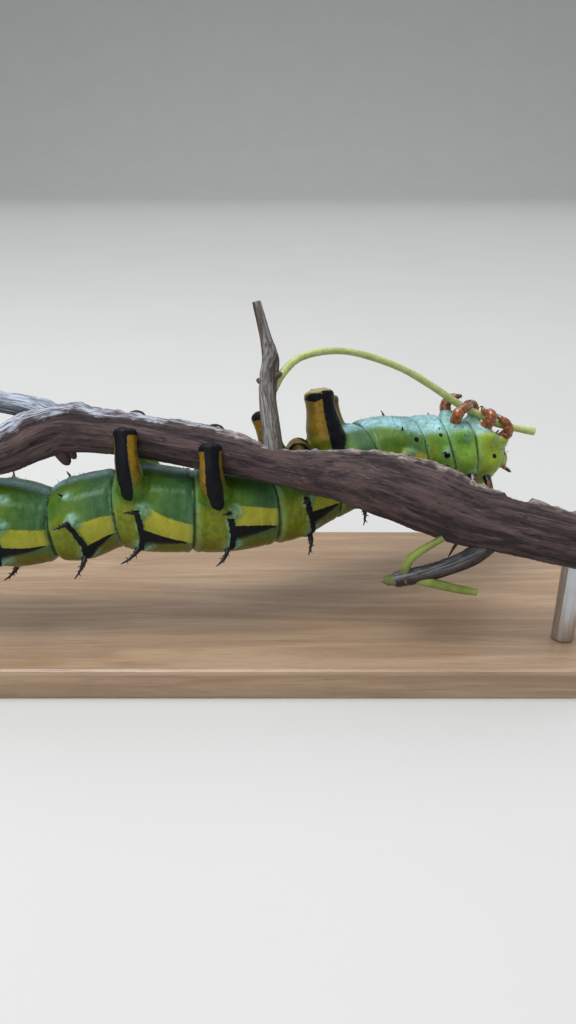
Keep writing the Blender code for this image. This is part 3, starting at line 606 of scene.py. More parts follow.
def tail_shield():
    """The low, domed, three-sided plate that closes the tail between its claspers."""

    def place(around, ahead):
        turn = 360.0 * around
        spot = 0.62 * (1.0 - ahead)
        grow = 0.9 * MM * bell(ahead, 0.45, 0.5) * rounded_end(ahead, 0.12)
        sides = 0.25 * MM * np.cos(3.0 * np.radians(turn))
        skin = BODY.skin(spot, turn, grow + sides - 0.35 * MM)
        middle = BODY.route.place(BODY.along(spot))
        return middle + column(rounded_end(ahead, 0.12)) * (skin - middle)

    return wrapped(*SHIELD_GRID, place)


def body_form():
    """The plain body from tail to neck, closed in a dome at both ends."""

    def place(around, ahead):
        spot = ahead * len(SEGMENTS)
        start = ease(ahead, 0.0, 0.012) ** 0.5
        finish = ease(1.0 - ahead, 0.0, 0.006) ** 0.5
        middle = BODY.route.place(BODY.along(spot))
        return middle + column(start * finish) * (BODY.skin(spot, 360.0 * around) - middle)

    return wrapped(*BODY_GRID, place)


def foot_swell(around, ahead):
    """The shape of a proleg: folds at its root, a waist, and a broad foot."""
    folds = 0.05 * np.sin(ahead * 46.0) * (1.0 - ease(ahead, 0.3, 0.72))
    foot = 0.13 * bell(ahead, 0.93, 0.07)
    waist = -0.06 * bell(ahead, 0.74, 0.1)
    return 1.0 + folds + foot + waist


def spine_roots():
    """Every spine of the body: its root, the directions out and back, and its size, in a fixed order."""
    chance = random.Random(SPINE_SEED)
    found = []
    for name in NAMES:
        rows = (BACK_SPINE, SIDE_SPINE, BELLY_SPINE)
        if name in NO_BELLY_SPINES:
            rows = (BACK_SPINE, SIDE_SPINE)
        if name in ("thorax_2", "thorax_3"):
            rows = (CHEST_SPINE,)
        if name == "thorax_1":
            rows = ()
        share = SPINES_AT.get(name, SPINES_ELSEWHERE)
        for row in rows:
            for side in (1, -1):
                size = SPINE_SIZES.get(name, 1.0) * chance.uniform(1 - SPINE_VARIATION, 1 + SPINE_VARIATION)
                lean = row[3] + chance.uniform(-LEAN_VARIATION, LEAN_VARIATION)
                found.append((name, share, side * row[0], size * row[1] * MM, size * row[2] * MM, lean))
        if name == "abdomen_8":
            found.append((name, TAIL_SPINE_AT, 0.0, BACK_SPINE[1] * MM, BACK_SPINE[2] * MM, BACK_SPINE[3]))
    return found


def warts():
    """The fleshy bumps that carry spines and horns, and the pads of the legs."""
    forms = []
    for name, share, angle, length, radius, _ in spine_roots():
        reach = 1.15 * radius + 0.07 * length
        forms.append(wart(name, share, angle, 1.2 * MM, 0.9 * reach, 2.6 * reach, 1.1 * reach))
    for _, segment, share, angle, _, radius in HORNS:
        wide, narrow = 2.1 * radius * MM, 1.25 * radius * MM
        forms.append(wart(segment, share, angle, 1.2 * MM, 0.75 * MM, wide, narrow))
    for _, segment, share, angle, _ in LEGS:
        forms.append(wart(segment, share, angle, 1.5 * MM, 1.2 * MM, 2.0 * MM, 1.2 * MM))
    return forms


def wart(segment, share, angle, sunk, proud, wide, narrow):
    """A bump of a segment, from a depth inside its skin to a height over it."""
    root, out, _ = BODY.surface(segment, share, angle)
    return cone(root - sunk * out, root + proud * out, wide, narrow)


def cone(start, end, wide, narrow):
    """A closed cone with a domed top, from one place to another."""
    points = [tuple(np.asarray(p) / MM) + (r / MM,) for p, r in ((start, wide), (end, narrow))]
    middle = tuple(0.5 * (a + b) for a, b in zip(*points))
    return tube_form([points[0], middle, points[1]], *WART_GRID, close=0.22, near=(1.0, 0.3, 0.2))


def chest_lobes(spot, angle):
    """The lumps of the short chest segments, in metres of height."""
    share = spot - np.floor(spot)
    chest = ease(spot, 10.0, 10.25)
    lumps = np.cos(np.radians(angle) * 7.0 + 0.8 * np.floor(spot)) * np.sin(math.pi * share)
    return 0.42 * MM * chest * lumps


def folds(spot, angle, points):
    """How far the skin is drawn in at the joints and creases, in metres."""
    wander = 0.03 * roughness_of(points, 170.0, 3.0, 2)
    joint = np.round(spot + wander)
    gap = (BODY.along(np.clip(spot + wander, 0.0, 13.0)) - BODY.along(joint)) / MM
    inner = (joint > 0.5) & (joint < LAST_JOINT)
    groove = FOLD_DEPTH * np.exp(-((gap / FOLD_WIDTH) ** 2)) * inner
    roll = FOLD_ROLL * (bell(np.abs(gap), 1.1, 0.6)) * inner
    share = spot + wander - np.floor(spot + wander)
    crease = np.zeros(len(spot))
    for at, width, depth in CREASES:
        deep = 0.7 + 0.6 * np.sin(np.radians(angle) * 2.0 + 9.0 * at + np.floor(spot))
        crease += depth * deep * bell(share, at, width)
    crease *= 1.0 - 0.6 * ease(spot, 9.0, 10.0)
    return MM * (roll - groove - crease)


def side_ridge(spot, angle):
    """The fleshy fold along each side, over the prolegs, swelling once a segment, in metres."""
    share = spot - np.floor(spot)
    swell = 0.35 + 0.65 * np.sin(math.pi * share) ** 2
    return MM * 0.42 * swell * bell(np.abs(angle), 133.0, 11.0) * ease(spot, 1.0, 2.0)


def on_prolegs(points, height):
    """For each point: the proleg it is on, the share along it, the turn round it, and a 0 to 1 weight."""
    best = np.full(len(points), 1e9)
    owner = np.full(len(points), -1)
    share = np.zeros(len(points))
    turn = np.zeros(len(points))
    for number, (name, places, radii, _) in enumerate(PROLEGS):
        route = Route(places)
        along = route.closest(points)
        offset = points - route.place(along)
        reach = np.linalg.norm(offset, axis=1)
        radius = np.interp(along, route.knots, np.array(radii) * MM)
        out = -1.0 if name.endswith("left") else 1.0
        outward = np.array((0.0, out, 0.0))
        heading = route.heading(along)
        side = unit(outward - column(dot(heading, outward)) * heading)
        ahead = np.cross(heading, side) * -out
        gap = reach / radius
        closer = (gap < best) & (gap < 1.55)
        best[closer] = gap[closer]
        owner[closer] = number
        share[closer] = (along / route.length)[closer]
        turn[closer] = np.degrees(np.arctan2(dot(offset, ahead), dot(offset, side)))[closer]
    weight = np.where(owner >= 0, ease(height, 0.25 * MM, 1.5 * MM), 0.0)
    return owner, share, turn, weight


def arc_gap(angle, middle):
    """The angle between two directions, -180 to 180."""
    return (angle - middle + 180.0) % 360.0 - 180.0


def patch_edges(spot, angle):
    """Signed distances in millimetres to the yellow patch and to the black one under it."""
    number = np.floor(spot).astype(int).clip(0, 12)
    share = spot - number
    yellow = np.full(len(spot), NOWHERE)
    black = np.full(len(spot), NOWHERE)
    depth = np.zeros(len(spot))
    around = np.abs(angle)
    length = np.diff(BODY.ends)[number] / MM
    arc = math.radians(1.0) * BODY.radius(spot) / MM
    for name, (tops, bottoms, under) in PATCHES.items():
        here = number == NAMES.index(name)
        top = np.interp(share, PATCH_AT, tops)
        bottom = np.interp(share, PATCH_AT, bottoms)
        shoulder = 18.0 * ease(0.5 - share, 0.0, 0.16)
        inside = np.minimum((top - shoulder - around) * arc, (around - bottom) * arc)
        ends = np.minimum((share - 0.375) * length, (0.985 - share) * length)
        faint = FAINT_PATCHES.get(name, 1.0)
        yellow[here] = faint * np.minimum(inside, ends)[here]
        if faint < 1.0:
            continue
        point = np.interp(share, (0.4, 0.95), (under, np.interp(0.95, PATCH_AT, bottoms)))
        inside = np.minimum((bottom + 1.5 - around) * arc, (around - point) * arc)
        ends = np.minimum((share - 0.39) * length, (0.97 - share) * length)
        black[here] = np.minimum(inside, ends)[here]
        depth[here] = ((around - point) / (bottom - point + 1e-6))[here]
    return yellow, black, depth


def line_gap(spot, angle):
    """Distance in millimetres to the black line that joins the side spine to the back spine."""
    gap = np.full(len(spot), -NOWHERE)
    for name, share, root, _, _, _ in spine_roots():
        if abs(root) != SIDE_SPINE[0] or name not in PATCHES or name in FAINT_PATCHES:
            continue
        number = NAMES.index(name)
        length = (BODY.ends[number + 1] - BODY.ends[number]) / MM
        reach = BODY.radius(number + share) / MM
        x = (spot - number) * length
        y = np.radians(np.abs(angle)) * reach
        here = (np.abs(spot - number - share) < 0.4) & (np.sign(angle) == np.sign(root))
        knots = [((share + a) * length, math.radians(b) * reach) for a, b in LINE_KNOTS]
        for (ax, ay), (bx, by) in zip(knots, knots[1:]):
            run = (bx - ax) ** 2 + (by - ay) ** 2
            t = np.clip(((x - ax) * (bx - ax) + (y - ay) * (by - ay)) / run, 0.0, 1.0)
            away = np.hypot(x - ax - t * (bx - ax), y - ay - t * (by - ay))
            gap = np.where(here, np.minimum(gap, away), gap)
    return gap


def near_roots(points, roots, reach):
    """1 at the roots of spines, falling to 0 a reach away."""
    near = np.zeros(len(points))
    for root, size in roots:
        away = np.linalg.norm(points - root, axis=1)
        near = np.maximum(near, 1.0 - ease(away, 0.35 * reach * size, reach * size))
    return near


# Dark spots of the chest: segment, share, angle, and radius in millimetres.
SPOTS = (
    ("abdomen_2", 0.78, 129, 0.62),
    ("abdomen_2", 0.5, 152, 0.26),
    ("abdomen_2", 0.64, 144, 0.2),
    ("abdomen_1", 0.76, 133, 0.55),
    ("abdomen_1", 0.8, 103, 0.7),
    ("abdomen_1", 0.72, 84, 0.7),
    ("abdomen_1", 0.45, 158, 0.22),
    ("thorax_3", 0.6, 131, 0.7),
    ("thorax_3", 0.35, 150, 0.25),
    ("thorax_2", 0.55, 133, 0.5),
    ("thorax_2", 0.6, 100, 0.6),
    ("thorax_1", 0.5, 120, 0.45),
    ("thorax_1", 0.45, 96, 0.55),
)


def spot_gap(points):
    """Distance in millimetres inside the dark spots, negative outside them."""
    inside = np.full(len(points), NOWHERE)
    for name, share, angle, radius in SPOTS:
        for side in (1, -1):
            middle = BODY.skin(NAMES.index(name) + share, side * angle)
            inside = np.maximum(inside, radius - np.linalg.norm(points - middle, axis=1) / MM)
    return inside


def make_skin():
    """The seamless skin of body, prolegs and warts, with its folds and the numbers its finish reads."""
    prolegs = [
        tube_form([(*p, r) for p, r in zip(places, radii)], *PROLEG_GRID, 0.07, foot_swell)
        for _, places, radii, _ in PROLEGS
    ]
    form = gathered([body_form(), tail_shield(), *prolegs, *warts()])
    names = [*NAMES, *(proleg[0] for proleg in PROLEGS)]
    skin = piece(form, "larva_skin", nodes=names, smooth_up_to=None)
    join_skin(skin)
    mesh = skin.data
    points = coordinates(mesh)
    spot, angle, height = BODY.locate(points)
    owner, share, turn, weight = on_prolegs(points, height)
    plain = 1.0 - ease(height, 0.5 * MM, 1.6 * MM) * (owner >= 0)
    rise = folds(spot, angle, points) + chest_lobes(spot, angle) + side_ridge(spot, angle)
    fine = FINE_DEPTH * roughness_of(points, FINE_WAVES, 5.0, 2)
    points = points + column(plain * rise + fine) * normals_of(mesh)
    move_to(mesh, points)
    mark_patches(mesh, points, spot, angle, weight)
    mark_ground(mesh, spot, angle, weight)
    tell(mesh, "wart", near_roots(points, wart_places(), WART_REACH))
    mark_prolegs(mesh, owner, share, turn, weight)
    mesh.shade_smooth()
    return skin


def join_skin(skin):
    """Joins the skin's forms into one smooth surface."""
    join = skin.modifiers.new("one_skin", "REMESH")
    join.mode = "VOXEL"
    join.voxel_size = SKIN_VOXEL
    apply_modifiers(skin)
    form = bmesh.new()
    form.from_mesh(skin.data)
    drop_loose(form)
    for _ in range(SKIN_SMOOTHING):
        bmesh.ops.smooth_vert(
            form, verts=form.verts[:], factor=0.5, use_axis_x=True, use_axis_y=True, use_axis_z=True
        )
    face_outwards(form)
    form.to_mesh(skin.data)
    form.free()


def mark_patches(mesh, points, spot, angle, weight):
    """Keeps where the yellow and black patches, the black line and the dark spots are."""
    yellow, black, depth = patch_edges(spot, angle)
    line = LINE_HALF_WIDTH - line_gap(spot, angle)
    tell(mesh, "yellow_patch", yellow - OFF_PROLEGS * weight)
    tell(mesh, "black_patch", black - OFF_PROLEGS * weight)
    tell(mesh, "black_depth", depth)
    tell(mesh, "black_line", line - OFF_PROLEGS * weight)
    tell(mesh, "dark_spot", spot_gap(points))


def mark_ground(mesh, spot, angle, weight):
    """Keeps where the joints, the belly with its painted bluish sky reflection, the brown back and the
    olive bands are.
    """
    bare = 1.0 - weight
    around = np.abs(angle)
    part = spot - np.floor(spot)
    joint = np.round(spot)
    gap = np.abs(BODY.along(spot) - BODY.along(joint)) / MM
    gap = np.where((joint > 0.5) & (joint < LAST_JOINT), gap, -NOWHERE) - NOWHERE * weight
    forward = ease(spot, 7.4, 9.2)
    tell(mesh, "joint_gap", gap)
    # belly: where the painted pale blue sky reflection goes, reaching wider towards the chest; it also sets
    # the coat's gloss.
    tell(mesh, "belly", ease(around + 34.0 * forward, 163.0, 182.0) * bare)
    tell(mesh, "ring_share", part * bare)
    tell(mesh, "behind_ring", (1.0 - ease(part, 0.3, 0.42)) * (1.0 - ease(around, 108.0, 122.0)) * bare)
    tell(mesh, "back", (1.0 - ease(around, 54.0, 80.0)) * bare)
    tell(mesh, "front", ease(spot, 8.2, 10.6))
    tell(mesh, "neck", ease(spot, 10.6, 11.6))


def wart_places():
    """The middle of each spine's and horn's wart, with its relative size."""
    roots = []
    for name, share, angle, length, _, _ in spine_roots():
        roots.append((BODY.surface(name, share + 0.06, angle)[0], 0.4 + 0.12 * length / MM))
    for _, segment, share, angle, _, _ in HORNS:
        roots.append((BODY.surface(segment, share, angle)[0], 0.9))
    return roots


def mark_prolegs(mesh, owner, share, turn, weight):
    """Keeps where each proleg's dark stripe, orange side, dark band and pale sole are."""
    stripe = np.full(len(owner), NOWHERE)
    orange = np.full(len(owner), NOWHERE)
    for k, (name, _, radii, (middle, half)) in enumerate(PROLEGS):
        here = owner == k
        end = 0.95 if name.startswith("proleg_a3") else 1.02
        arc = math.radians(1.0) * np.interp(share, (0.0, 0.35, 0.7, 1.0), radii)
        away = arc_gap(turn, middle)
        narrow = 1.0 - (0.42 if radii[0] < 4.0 else 0.05) * (1.0 - ease(share, 0.15, 0.55))
        root = np.maximum(0.0, 0.36 - share) / 0.14
        inside = 1.0 - np.hypot(away / (half * narrow), root)
        stripe[here] = np.minimum(inside * half * narrow * arc, (end - share) * PROLEG_LENGTH)[here]
        beside = away - half - 22.0 if k == 0 else -away - half - 20.0
        orange[here] = ((18.0 - np.abs(beside)) * arc)[here]
    raised = (owner == 6) | (owner == 7)
    away = np.abs(arc_gap(turn, -20.0))
    sole = (share - np.where(raised, 0.945, 0.985)) * PROLEG_LENGTH
    thick = np.where(raised, 0.85 - 0.013 * away, 0.95 - 0.003 * away)
    band = thick - np.abs(share - np.where(raised, 0.89, 0.93)) * PROLEG_LENGTH
    on_leg = weight > 0.02
    tell(mesh, "proleg", weight)
    tell(mesh, "proleg_stripe", np.where(on_leg, stripe, NOWHERE))
    tell(mesh, "proleg_orange", np.where(on_leg, orange, NOWHERE))
    tell(mesh, "proleg_band", np.where(on_leg, band, NOWHERE))
    tell(mesh, "proleg_sole", np.where(on_leg, sole, NOWHERE))
    tell(mesh, "proleg_share", np.where(owner >= 0, share, 0.0))


def apply_modifiers(thing):
    """Keeps what the piece's modifiers make as its own mesh."""
    bpy.context.view_layer.update()
    graph = bpy.context.evaluated_depsgraph_get()
    mesh = bpy.data.meshes.new_from_object(thing.evaluated_get(graph))
    thing.modifiers.clear()
    thing.data = mesh


def drop_loose(form):
    """Keeps the largest connected part of a form."""
    left = set(form.verts)
    islands = []
    while left:
        island = {left.pop()}
        edge = list(island)
        while edge:
            for link in edge.pop().link_edges:
                for vert in link.verts:
                    if vert in left:
                        left.remove(vert)
                        island.add(vert)
                        edge.append(vert)
        islands.append(island)
    largest = max(islands, key=len)
    loose = [vert for island in islands if island is not largest for vert in island]
    bmesh.ops.delete(form, geom=loose, context="VERTS")


class Bow:
    """A curve from start to end, in one plane, that leaves towards pull."""

    def __init__(self, start, pull, end):
        self.start, self.pull, self.end = start, pull, end
        across = np.cross(pull - start, end - pull)
        if np.linalg.norm(across) < 1e-12:
            across = np.cross(end - start, (0.3, 0.5, 0.8))
        self.across = unit(across)

    def place(self, t):
        """Points at shares t of the curve."""
        t = column(t)
        return (1 - t) ** 2 * self.start + 2 * t * (1 - t) * self.pull + t**2 * self.end

    def heading(self, t):
        """Directions of the curve at shares t."""
        t = column(t)
        return unit((1 - t) * (self.pull - self.start) + t * (self.end - self.pull))

    def form(self, sides, stations, radius):
        """A closed round form along the curve; radius gives its size from shares round and along."""

        def place(around, ahead):
            turn = math.tau * around
            upward = np.cross(np.broadcast_to(self.across, (len(ahead), 3)), self.heading(ahead))
            ring = column(np.cos(turn)) * self.across + column(np.sin(turn)) * upward
            return self.place(ahead) + column(radius(around, ahead)) * ring

        return wrapped(sides, stations, place)


# The turn from one prickle to the next round a curve, and the seeds of hairs and horns.
PRICKLE_TURN = 2.4
HAIR_SEED, HORN_SEED = 31, 12
# Horns thicker than this, in millimetres, have more and longer spinelets.
THICK_HORN = 0.7
SPINELETS_THICK, SPINELETS_THIN = 22, 14


def on_bow(bow, share, turn):
    """A curve's place and heading at a share, and the side that a turn round it faces."""
    at = np.array([share])
    ahead = bow.heading(at)[0]
    side = math.cos(turn) * bow.across + math.sin(turn) * np.cross(bow.across, ahead)
    return bow.place(at)[0], ahead, side


def prickle(place, ahead, side, length, radius, lean):
    """A short sharp side point of a spine or horn."""
    tip = place + length * unit(side + lean * ahead)
    bow = Bow(place - 0.25 * length * side, place + 0.45 * length * side, tip)
    return bow.form(6, 6, lambda around, ahead: radius * (1.0 - 0.93 * ahead) * rounded_end(ahead, 0.08))


def spine_bow(root, out, back, length, lean):
    """The curve of a spine that bends back along the body."""
    turn = math.radians(lean)
    rise = math.cos(0.4 * turn) * out + math.sin(0.4 * turn) * back
    bend = math.cos(turn) * out + math.sin(turn) * back
    tip = root + 0.5 * length * (rise + bend)
    return Bow(root - 0.9 * MM * out, root + 0.42 * length * out, tip)


def make_spines():
    """The black branching spines of the body, each on its wart."""
    chance = random.Random(SPINE_SEED + 1)
    forms = []
    for name, share, angle, length, radius, lean in spine_roots():
        root, out, back = BODY.surface(name, share, angle)
        bow = spine_bow(root, out, back, length, lean)
        uneven = chance.uniform(0.0, math.tau)

        def size(around, ahead):
            ripple = 0.06 * np.sin(3 * math.tau * around + uneven)
            knobs = 1.0 + 0.1 * np.sin(11.0 * ahead + uneven) + ripple
            foot = 0.55 * bell(ahead, 0.1, 0.13)
            return radius * knobs * (1.02 - 0.9 * ahead**1.3 + foot) * rounded_end(ahead, 0.04)

        forms.append(bow.form(10, 16, size))
        count = 3 + int(length / (0.85 * MM))
        for k in range(count):
            t = 0.3 + 0.55 * k / count
            place, ahead, side = on_bow(bow, t, PRICKLE_TURN * k + uneven)
            reach = (0.16 * length + 0.2 * MM) * chance.uniform(0.8, 1.25) * (1.15 - 0.5 * t)
            forms.append(prickle(place, ahead, side, reach, 0.36 * radius, 0.55))
    make_setae(forms)
    piece(gathered(forms), "black_spines", spine_finish())


# Short dark hairs: how many a segment, length and radius in millimetres.
SETAE_A_SEGMENT = 20
SETA_LENGTH = 0.7
SETA_RADIUS = 0.06


def make_setae(forms):
    """Short dark hairs scattered over belly and sides."""
    chance = random.Random(HAIR_SEED)
    for i in range(len(NAMES)):
        for _ in range(SETAE_A_SEGMENT):
            angle = chance.choice((1, -1)) * chance.uniform(95.0, 176.0)
            root, out, back = BODY.surface(NAMES[i], chance.uniform(0.12, 0.9), angle)
            length = SETA_LENGTH * MM * chance.uniform(0.6, 1.3)
            forms.append(prickle(root, back, out, length, SETA_RADIUS * MM, chance.uniform(-0.3, 0.5)))


def make_horns():
    """The long curved horns of the chest with their spinelets, and how far along each point is."""
    forms = []
    chance = random.Random(HORN_SEED)
    names = []
    for name, segment, share, angle, tip, radius in HORNS:
        names.append(name)
        root, out, _ = BODY.surface(segment, share, angle)
        end = np.array(tip) * MM
        pull = root + HORN_SPREAD * np.linalg.norm(end - root) * out
        bow = Bow(root - HORN_SINK * out, pull, end)
        phase = chance.uniform(0.0, math.tau)

        def size(around, ahead):
            knobs = 1.0 + 0.035 * np.sin(31.0 * ahead + phase) + 0.03 * np.sin(2 * math.tau * around)
            taper = HORN_ROOT - HORN_NARROWING * ahead - 0.18 * ease(ahead, 0.86, 1.0)
            return radius * MM * knobs * taper * rounded_end(ahead, 0.03)

        main = bow.form(16, 40, size)
        mark(main, 0.0, lambda point: closest_share(bow, point))
        forms.append(main)
        count = SPINELETS_THICK if radius > THICK_HORN else SPINELETS_THIN
        for k in range(count):
            t = 0.2 + 0.74 * k / count
            place, ahead, side = on_bow(bow, t, PRICKLE_TURN * k + phase)
            reach = MM * (1.5 - 0.7 * t) * chance.uniform(0.75, 1.2) * (1.0 if radius > THICK_HORN else 0.7)
            thorn = prickle(place, ahead, side, reach, 0.2 * radius * MM, 0.65)
            mark(thorn, 1.0, None)
            forms.append(thorn)
    piece(gathered(forms), "chest_horns", horn_finish(), names)


def closest_share(bow, point):
    """The share along a curve that is closest to a point."""
    t = np.linspace(0.0, 1.0, 41)
    return float(t[np.linalg.norm(bow.place(t) - np.array(point), axis=1).argmin()])


def mark(form, value, rule, name="tipward"):
    """Keeps a number at every vertex of a form, one value or what the rule says for its place."""
    layer = form.verts.layers.float.get(name) or form.verts.layers.float.new(name)
    for vert in form.verts:
        vert[layer] = rule(vert.co) if rule else value


def leg_places(segment, share, angle, grip):
    """The joints of a true leg, from inside its pad to the claw over the leaf stalk."""
    root, out, _ = BODY.surface(segment, share, angle)
    stalk = Route(PETIOLE)
    hold = stalk.place(grip * MM)
    _, lift = stalk.sides(np.array([grip * MM]))
    lift = lift[0]
    beside = math.copysign(1.0, angle) * BODY.directions(BODY.along(NAMES.index(segment) + share))[1]
    knee = root + LEG_KNEE * MM * out
    hook = hold + LEG_HOOK[0] * MM * beside + LEG_HOOK[1] * MM * lift
    claw = hold + LEG_CLAW[0] * MM * beside + LEG_CLAW[1] * MM * lift
    shin = 0.5 * (knee + hook) + LEG_BOW * MM * (out + lift)
    return [root - 1.0 * MM * out, knee, shin, hook, claw], stalk.heading(grip * MM), lift, beside


# Where along a true leg its joints are.
LEG_JOINTS = (0.4, 0.62, 0.82)


def claw_size(around, share):
    """The radius of a leg's claw, from its root to its tip."""
    return 0.27 * MM * (1.05 - 0.95 * share) * rounded_end(share, 0.06)


def make_legs():
    """The six true legs, with swollen joints and a dark claw hooked over the stalk."""
    forms, claws = [], []
    names = []
    for name, segment, share, angle, grip in LEGS:
        names.append(name)
        places, ahead, lift, beside = leg_places(segment, share, angle, grip)
        points = [(*(place / MM), radius) for place, radius in zip(places, LEG_RADII)]

        def knuckles(around, along):
            swell, pinch = 0.0, 0.0
            for joint in LEG_JOINTS:
                swell = swell + 0.06 * bell(along, joint - 0.05, 0.045)
                pinch = pinch + 0.09 * bell(along, joint, 0.018)
            return 1.0 + swell - pinch

        form = tube_form(points, 20, 60, 0.05, knuckles, near=ahead)
        route = Route(points)
        mark(form, 0.0, lambda point: share_along(route, point))
        forms.append(form)
        claw_root = places[-1] + 0.1 * MM * beside
        tip = claw_root - 1.1 * MM * beside - 0.55 * MM * lift
        bow = Bow(claw_root, claw_root - 0.5 * MM * beside + 0.45 * MM * lift, tip)
        claws.append(bow.form(10, 14, claw_size))
        for k in range(7):
            t = 0.25 + 0.1 * k
            spot = route.place(t * route.length)
            turn = 2.1 * k
            across, upward = route.sides(np.array([t * route.length]), near=ahead)
            side = math.cos(turn) * across[0] + math.sin(turn) * upward[0]
            reach = np.interp(t, np.linspace(0, 1, 5), LEG_RADII) * MM
            claws.append(prickle(spot + 0.9 * reach * side, lift, side, 0.55 * MM, 0.05 * MM, 0.3))
    piece(gathered(forms), "true_legs", leg_finish(), names)
    piece(gathered(claws), "leg_claws", claw_finish())


# Hooks round the sole of each proleg: how many, length and radius in millimetres.
HOOKS = 26
HOOK_LENGTH = 0.55
HOOK_RADIUS = 0.1


def make_hooks():
    """The arcs of small dark hooks with which the prolegs hold on."""
    forms = []
    for name, places, radii, _ in PROLEGS:
        route = Route(places)
        along = np.array([route.length * 0.975])
        across, upward = route.sides(along, near=(1.0, 0.0, 0.0))
        heading = route.heading(along)[0]
        for k in range(HOOKS):
            turn = math.pi * (0.12 + 0.76 * (k + 0.5) / HOOKS)
            turn *= 1.0 if name.endswith("left") else -1.0
            side = math.cos(turn) * upward[0] + math.sin(turn) * across[0]
            root = route.place(along)[0] + 0.66 * radii[-1] * MM * side
            forms.append(prickle(root, -side, heading, HOOK_LENGTH * MM, HOOK_RADIUS * MM, 0.7))
    piece(gathered(forms), "proleg_hooks", claw_finish())


class Head:
    """The head's place and its three directions."""

    def __init__(self):
        heading, self.left, belly = BODY.directions(BODY.ends[-1])
        turn = math.radians(HEAD_TILT)
        self.face = math.cos(turn) * heading + math.sin(turn) * belly
        self.crown = math.cos(turn) * belly - math.sin(turn) * heading
        self.middle = np.array(HEAD_MIDDLE) * MM

    def place(self, ahead, up, out):
        """Places from forwards, to the crown and to the left, in millimetres."""
        offset = column(ahead) * self.face + column(up) * self.crown + column(out) * self.left
        return self.middle + MM * offset

    def case(self):
        """The head's shell: two full lobes with the forked seam between them."""

        def place(around, ahead):
            t = 0.985 * (2.0 * ahead - 1.0)
            turn = math.tau * around
            wide = np.sqrt(np.maximum(1.0 - np.abs(t) ** 2.3, 0.0)) * HEAD_RADIUS
            wide = wide * np.clip(np.minimum(ahead, 1 - ahead) / 0.006, 0.0, 1.0)
            top = np.maximum(0.0, -np.sin(turn))
            lobes = 1.0 + 0.05 * bell(np.abs(np.cos(turn)), 0.45, 0.3) * top
            seam = 0.1 * top**2 * np.exp(-((np.cos(turn) / 0.1) ** 2)) * (1.0 - ease(t, 0.35, 0.7))
            front = ease(t, 0.1, 0.75)
            fork = np.abs(np.cos(turn)) - 0.42 * ease(t, 0.15, 0.95)
            frons = 0.045 * np.exp(-((fork / 0.05) ** 2)) * front * (top > 0)
            cheek = 1.0 + 0.05 * bell(np.sin(turn), 0.45, 0.35) * ease(t, -0.3, 0.6)
            wide = wide * (lobes - seam - frons) * cheek
            flat = 1.0 - 0.12 * np.maximum(0.0, np.sin(turn)) ** 2
            return self.place(t * HEAD_LENGTH, wide * np.sin(turn) * flat, wide * np.cos(turn))

        return wrapped(84, 60, place)

    def tube(self, spots, sides=14, stations=20, close=0.12, bulge=None, side=1):
        """One piece of the face through (forwards, to the crown, sideways, radius) spots."""
        points = [(*(self.place(a, b, side * c) / MM), r) for a, b, c, r in spots]
        return tube_form(points, sides, stations, close, bulge, near=self.face + 0.3 * self.left)


# Pieces of the face: (forwards, to the crown, sideways, radius) in millimetres from its middle.
JAW = ((1.9, 1.5, 1.0, 0.72), (2.9, 1.75, 0.95, 0.74), (3.55, 1.95, 0.7, 0.52), (3.95, 2.0, 0.42, 0.24))
FEELER = ((1.5, 1.1, 2.3, 0.4), (2.1, 1.5, 2.85, 0.33), (2.6, 1.8, 3.15, 0.24), (3.0, 1.95, 3.4, 0.12))
LIP = ((2.1, 0.35, -1.15, 0.42), (3.05, 0.55, -0.5, 0.5), (3.05, 0.55, 0.5, 0.5), (2.1, 0.35, 1.15, 0.42))
FOREHEAD = ((2.6, -0.35, -0.75, 0.35), (3.05, -0.2, 0.0, 0.42), (2.6, -0.35, 0.75, 0.35))
PALP = ((2.2, 2.3, 0.95, 0.42), (3.0, 2.55, 0.85, 0.32), (3.4, 2.6, 0.75, 0.16))
SPINNERET = ((2.2, 2.75, 0.0, 0.42), (3.0, 2.9, 0.0, 0.26), (3.4, 2.95, 0.0, 0.1))
EYES = (
    (2.05, 0.2, 3.02), (1.75, -0.35, 3.25), (1.35, -0.75, 3.42),
    (2.2, 0.85, 2.85), (1.65, 1.2, 3.2), (1.0, -0.1, 3.7),
)
EYE_RADIUS = 0.2


def jaw_ribs(around, share):
    """The ribs near the tip of a jaw."""
    return 1.0 + 0.08 * np.sin(4 * math.tau * around) * (share > 0.6)


def palp_joint(around, share):
    """The pinched joint of a palp."""
    return 1.0 - 0.16 * bell(share, 0.55, 0.05)


def feeler_joints(around, share):
    """The two pinched joints of a feeler."""
    return 1.0 - 0.2 * bell(share, 0.38, 0.04) - 0.2 * bell(share, 0.68, 0.04)


def eye_size(around, share):
    """The radius of an eye, which is a ball."""
    return EYE_RADIUS * MM * np.sqrt(np.maximum(1.0 - (2 * share - 1) ** 2, 0.0))


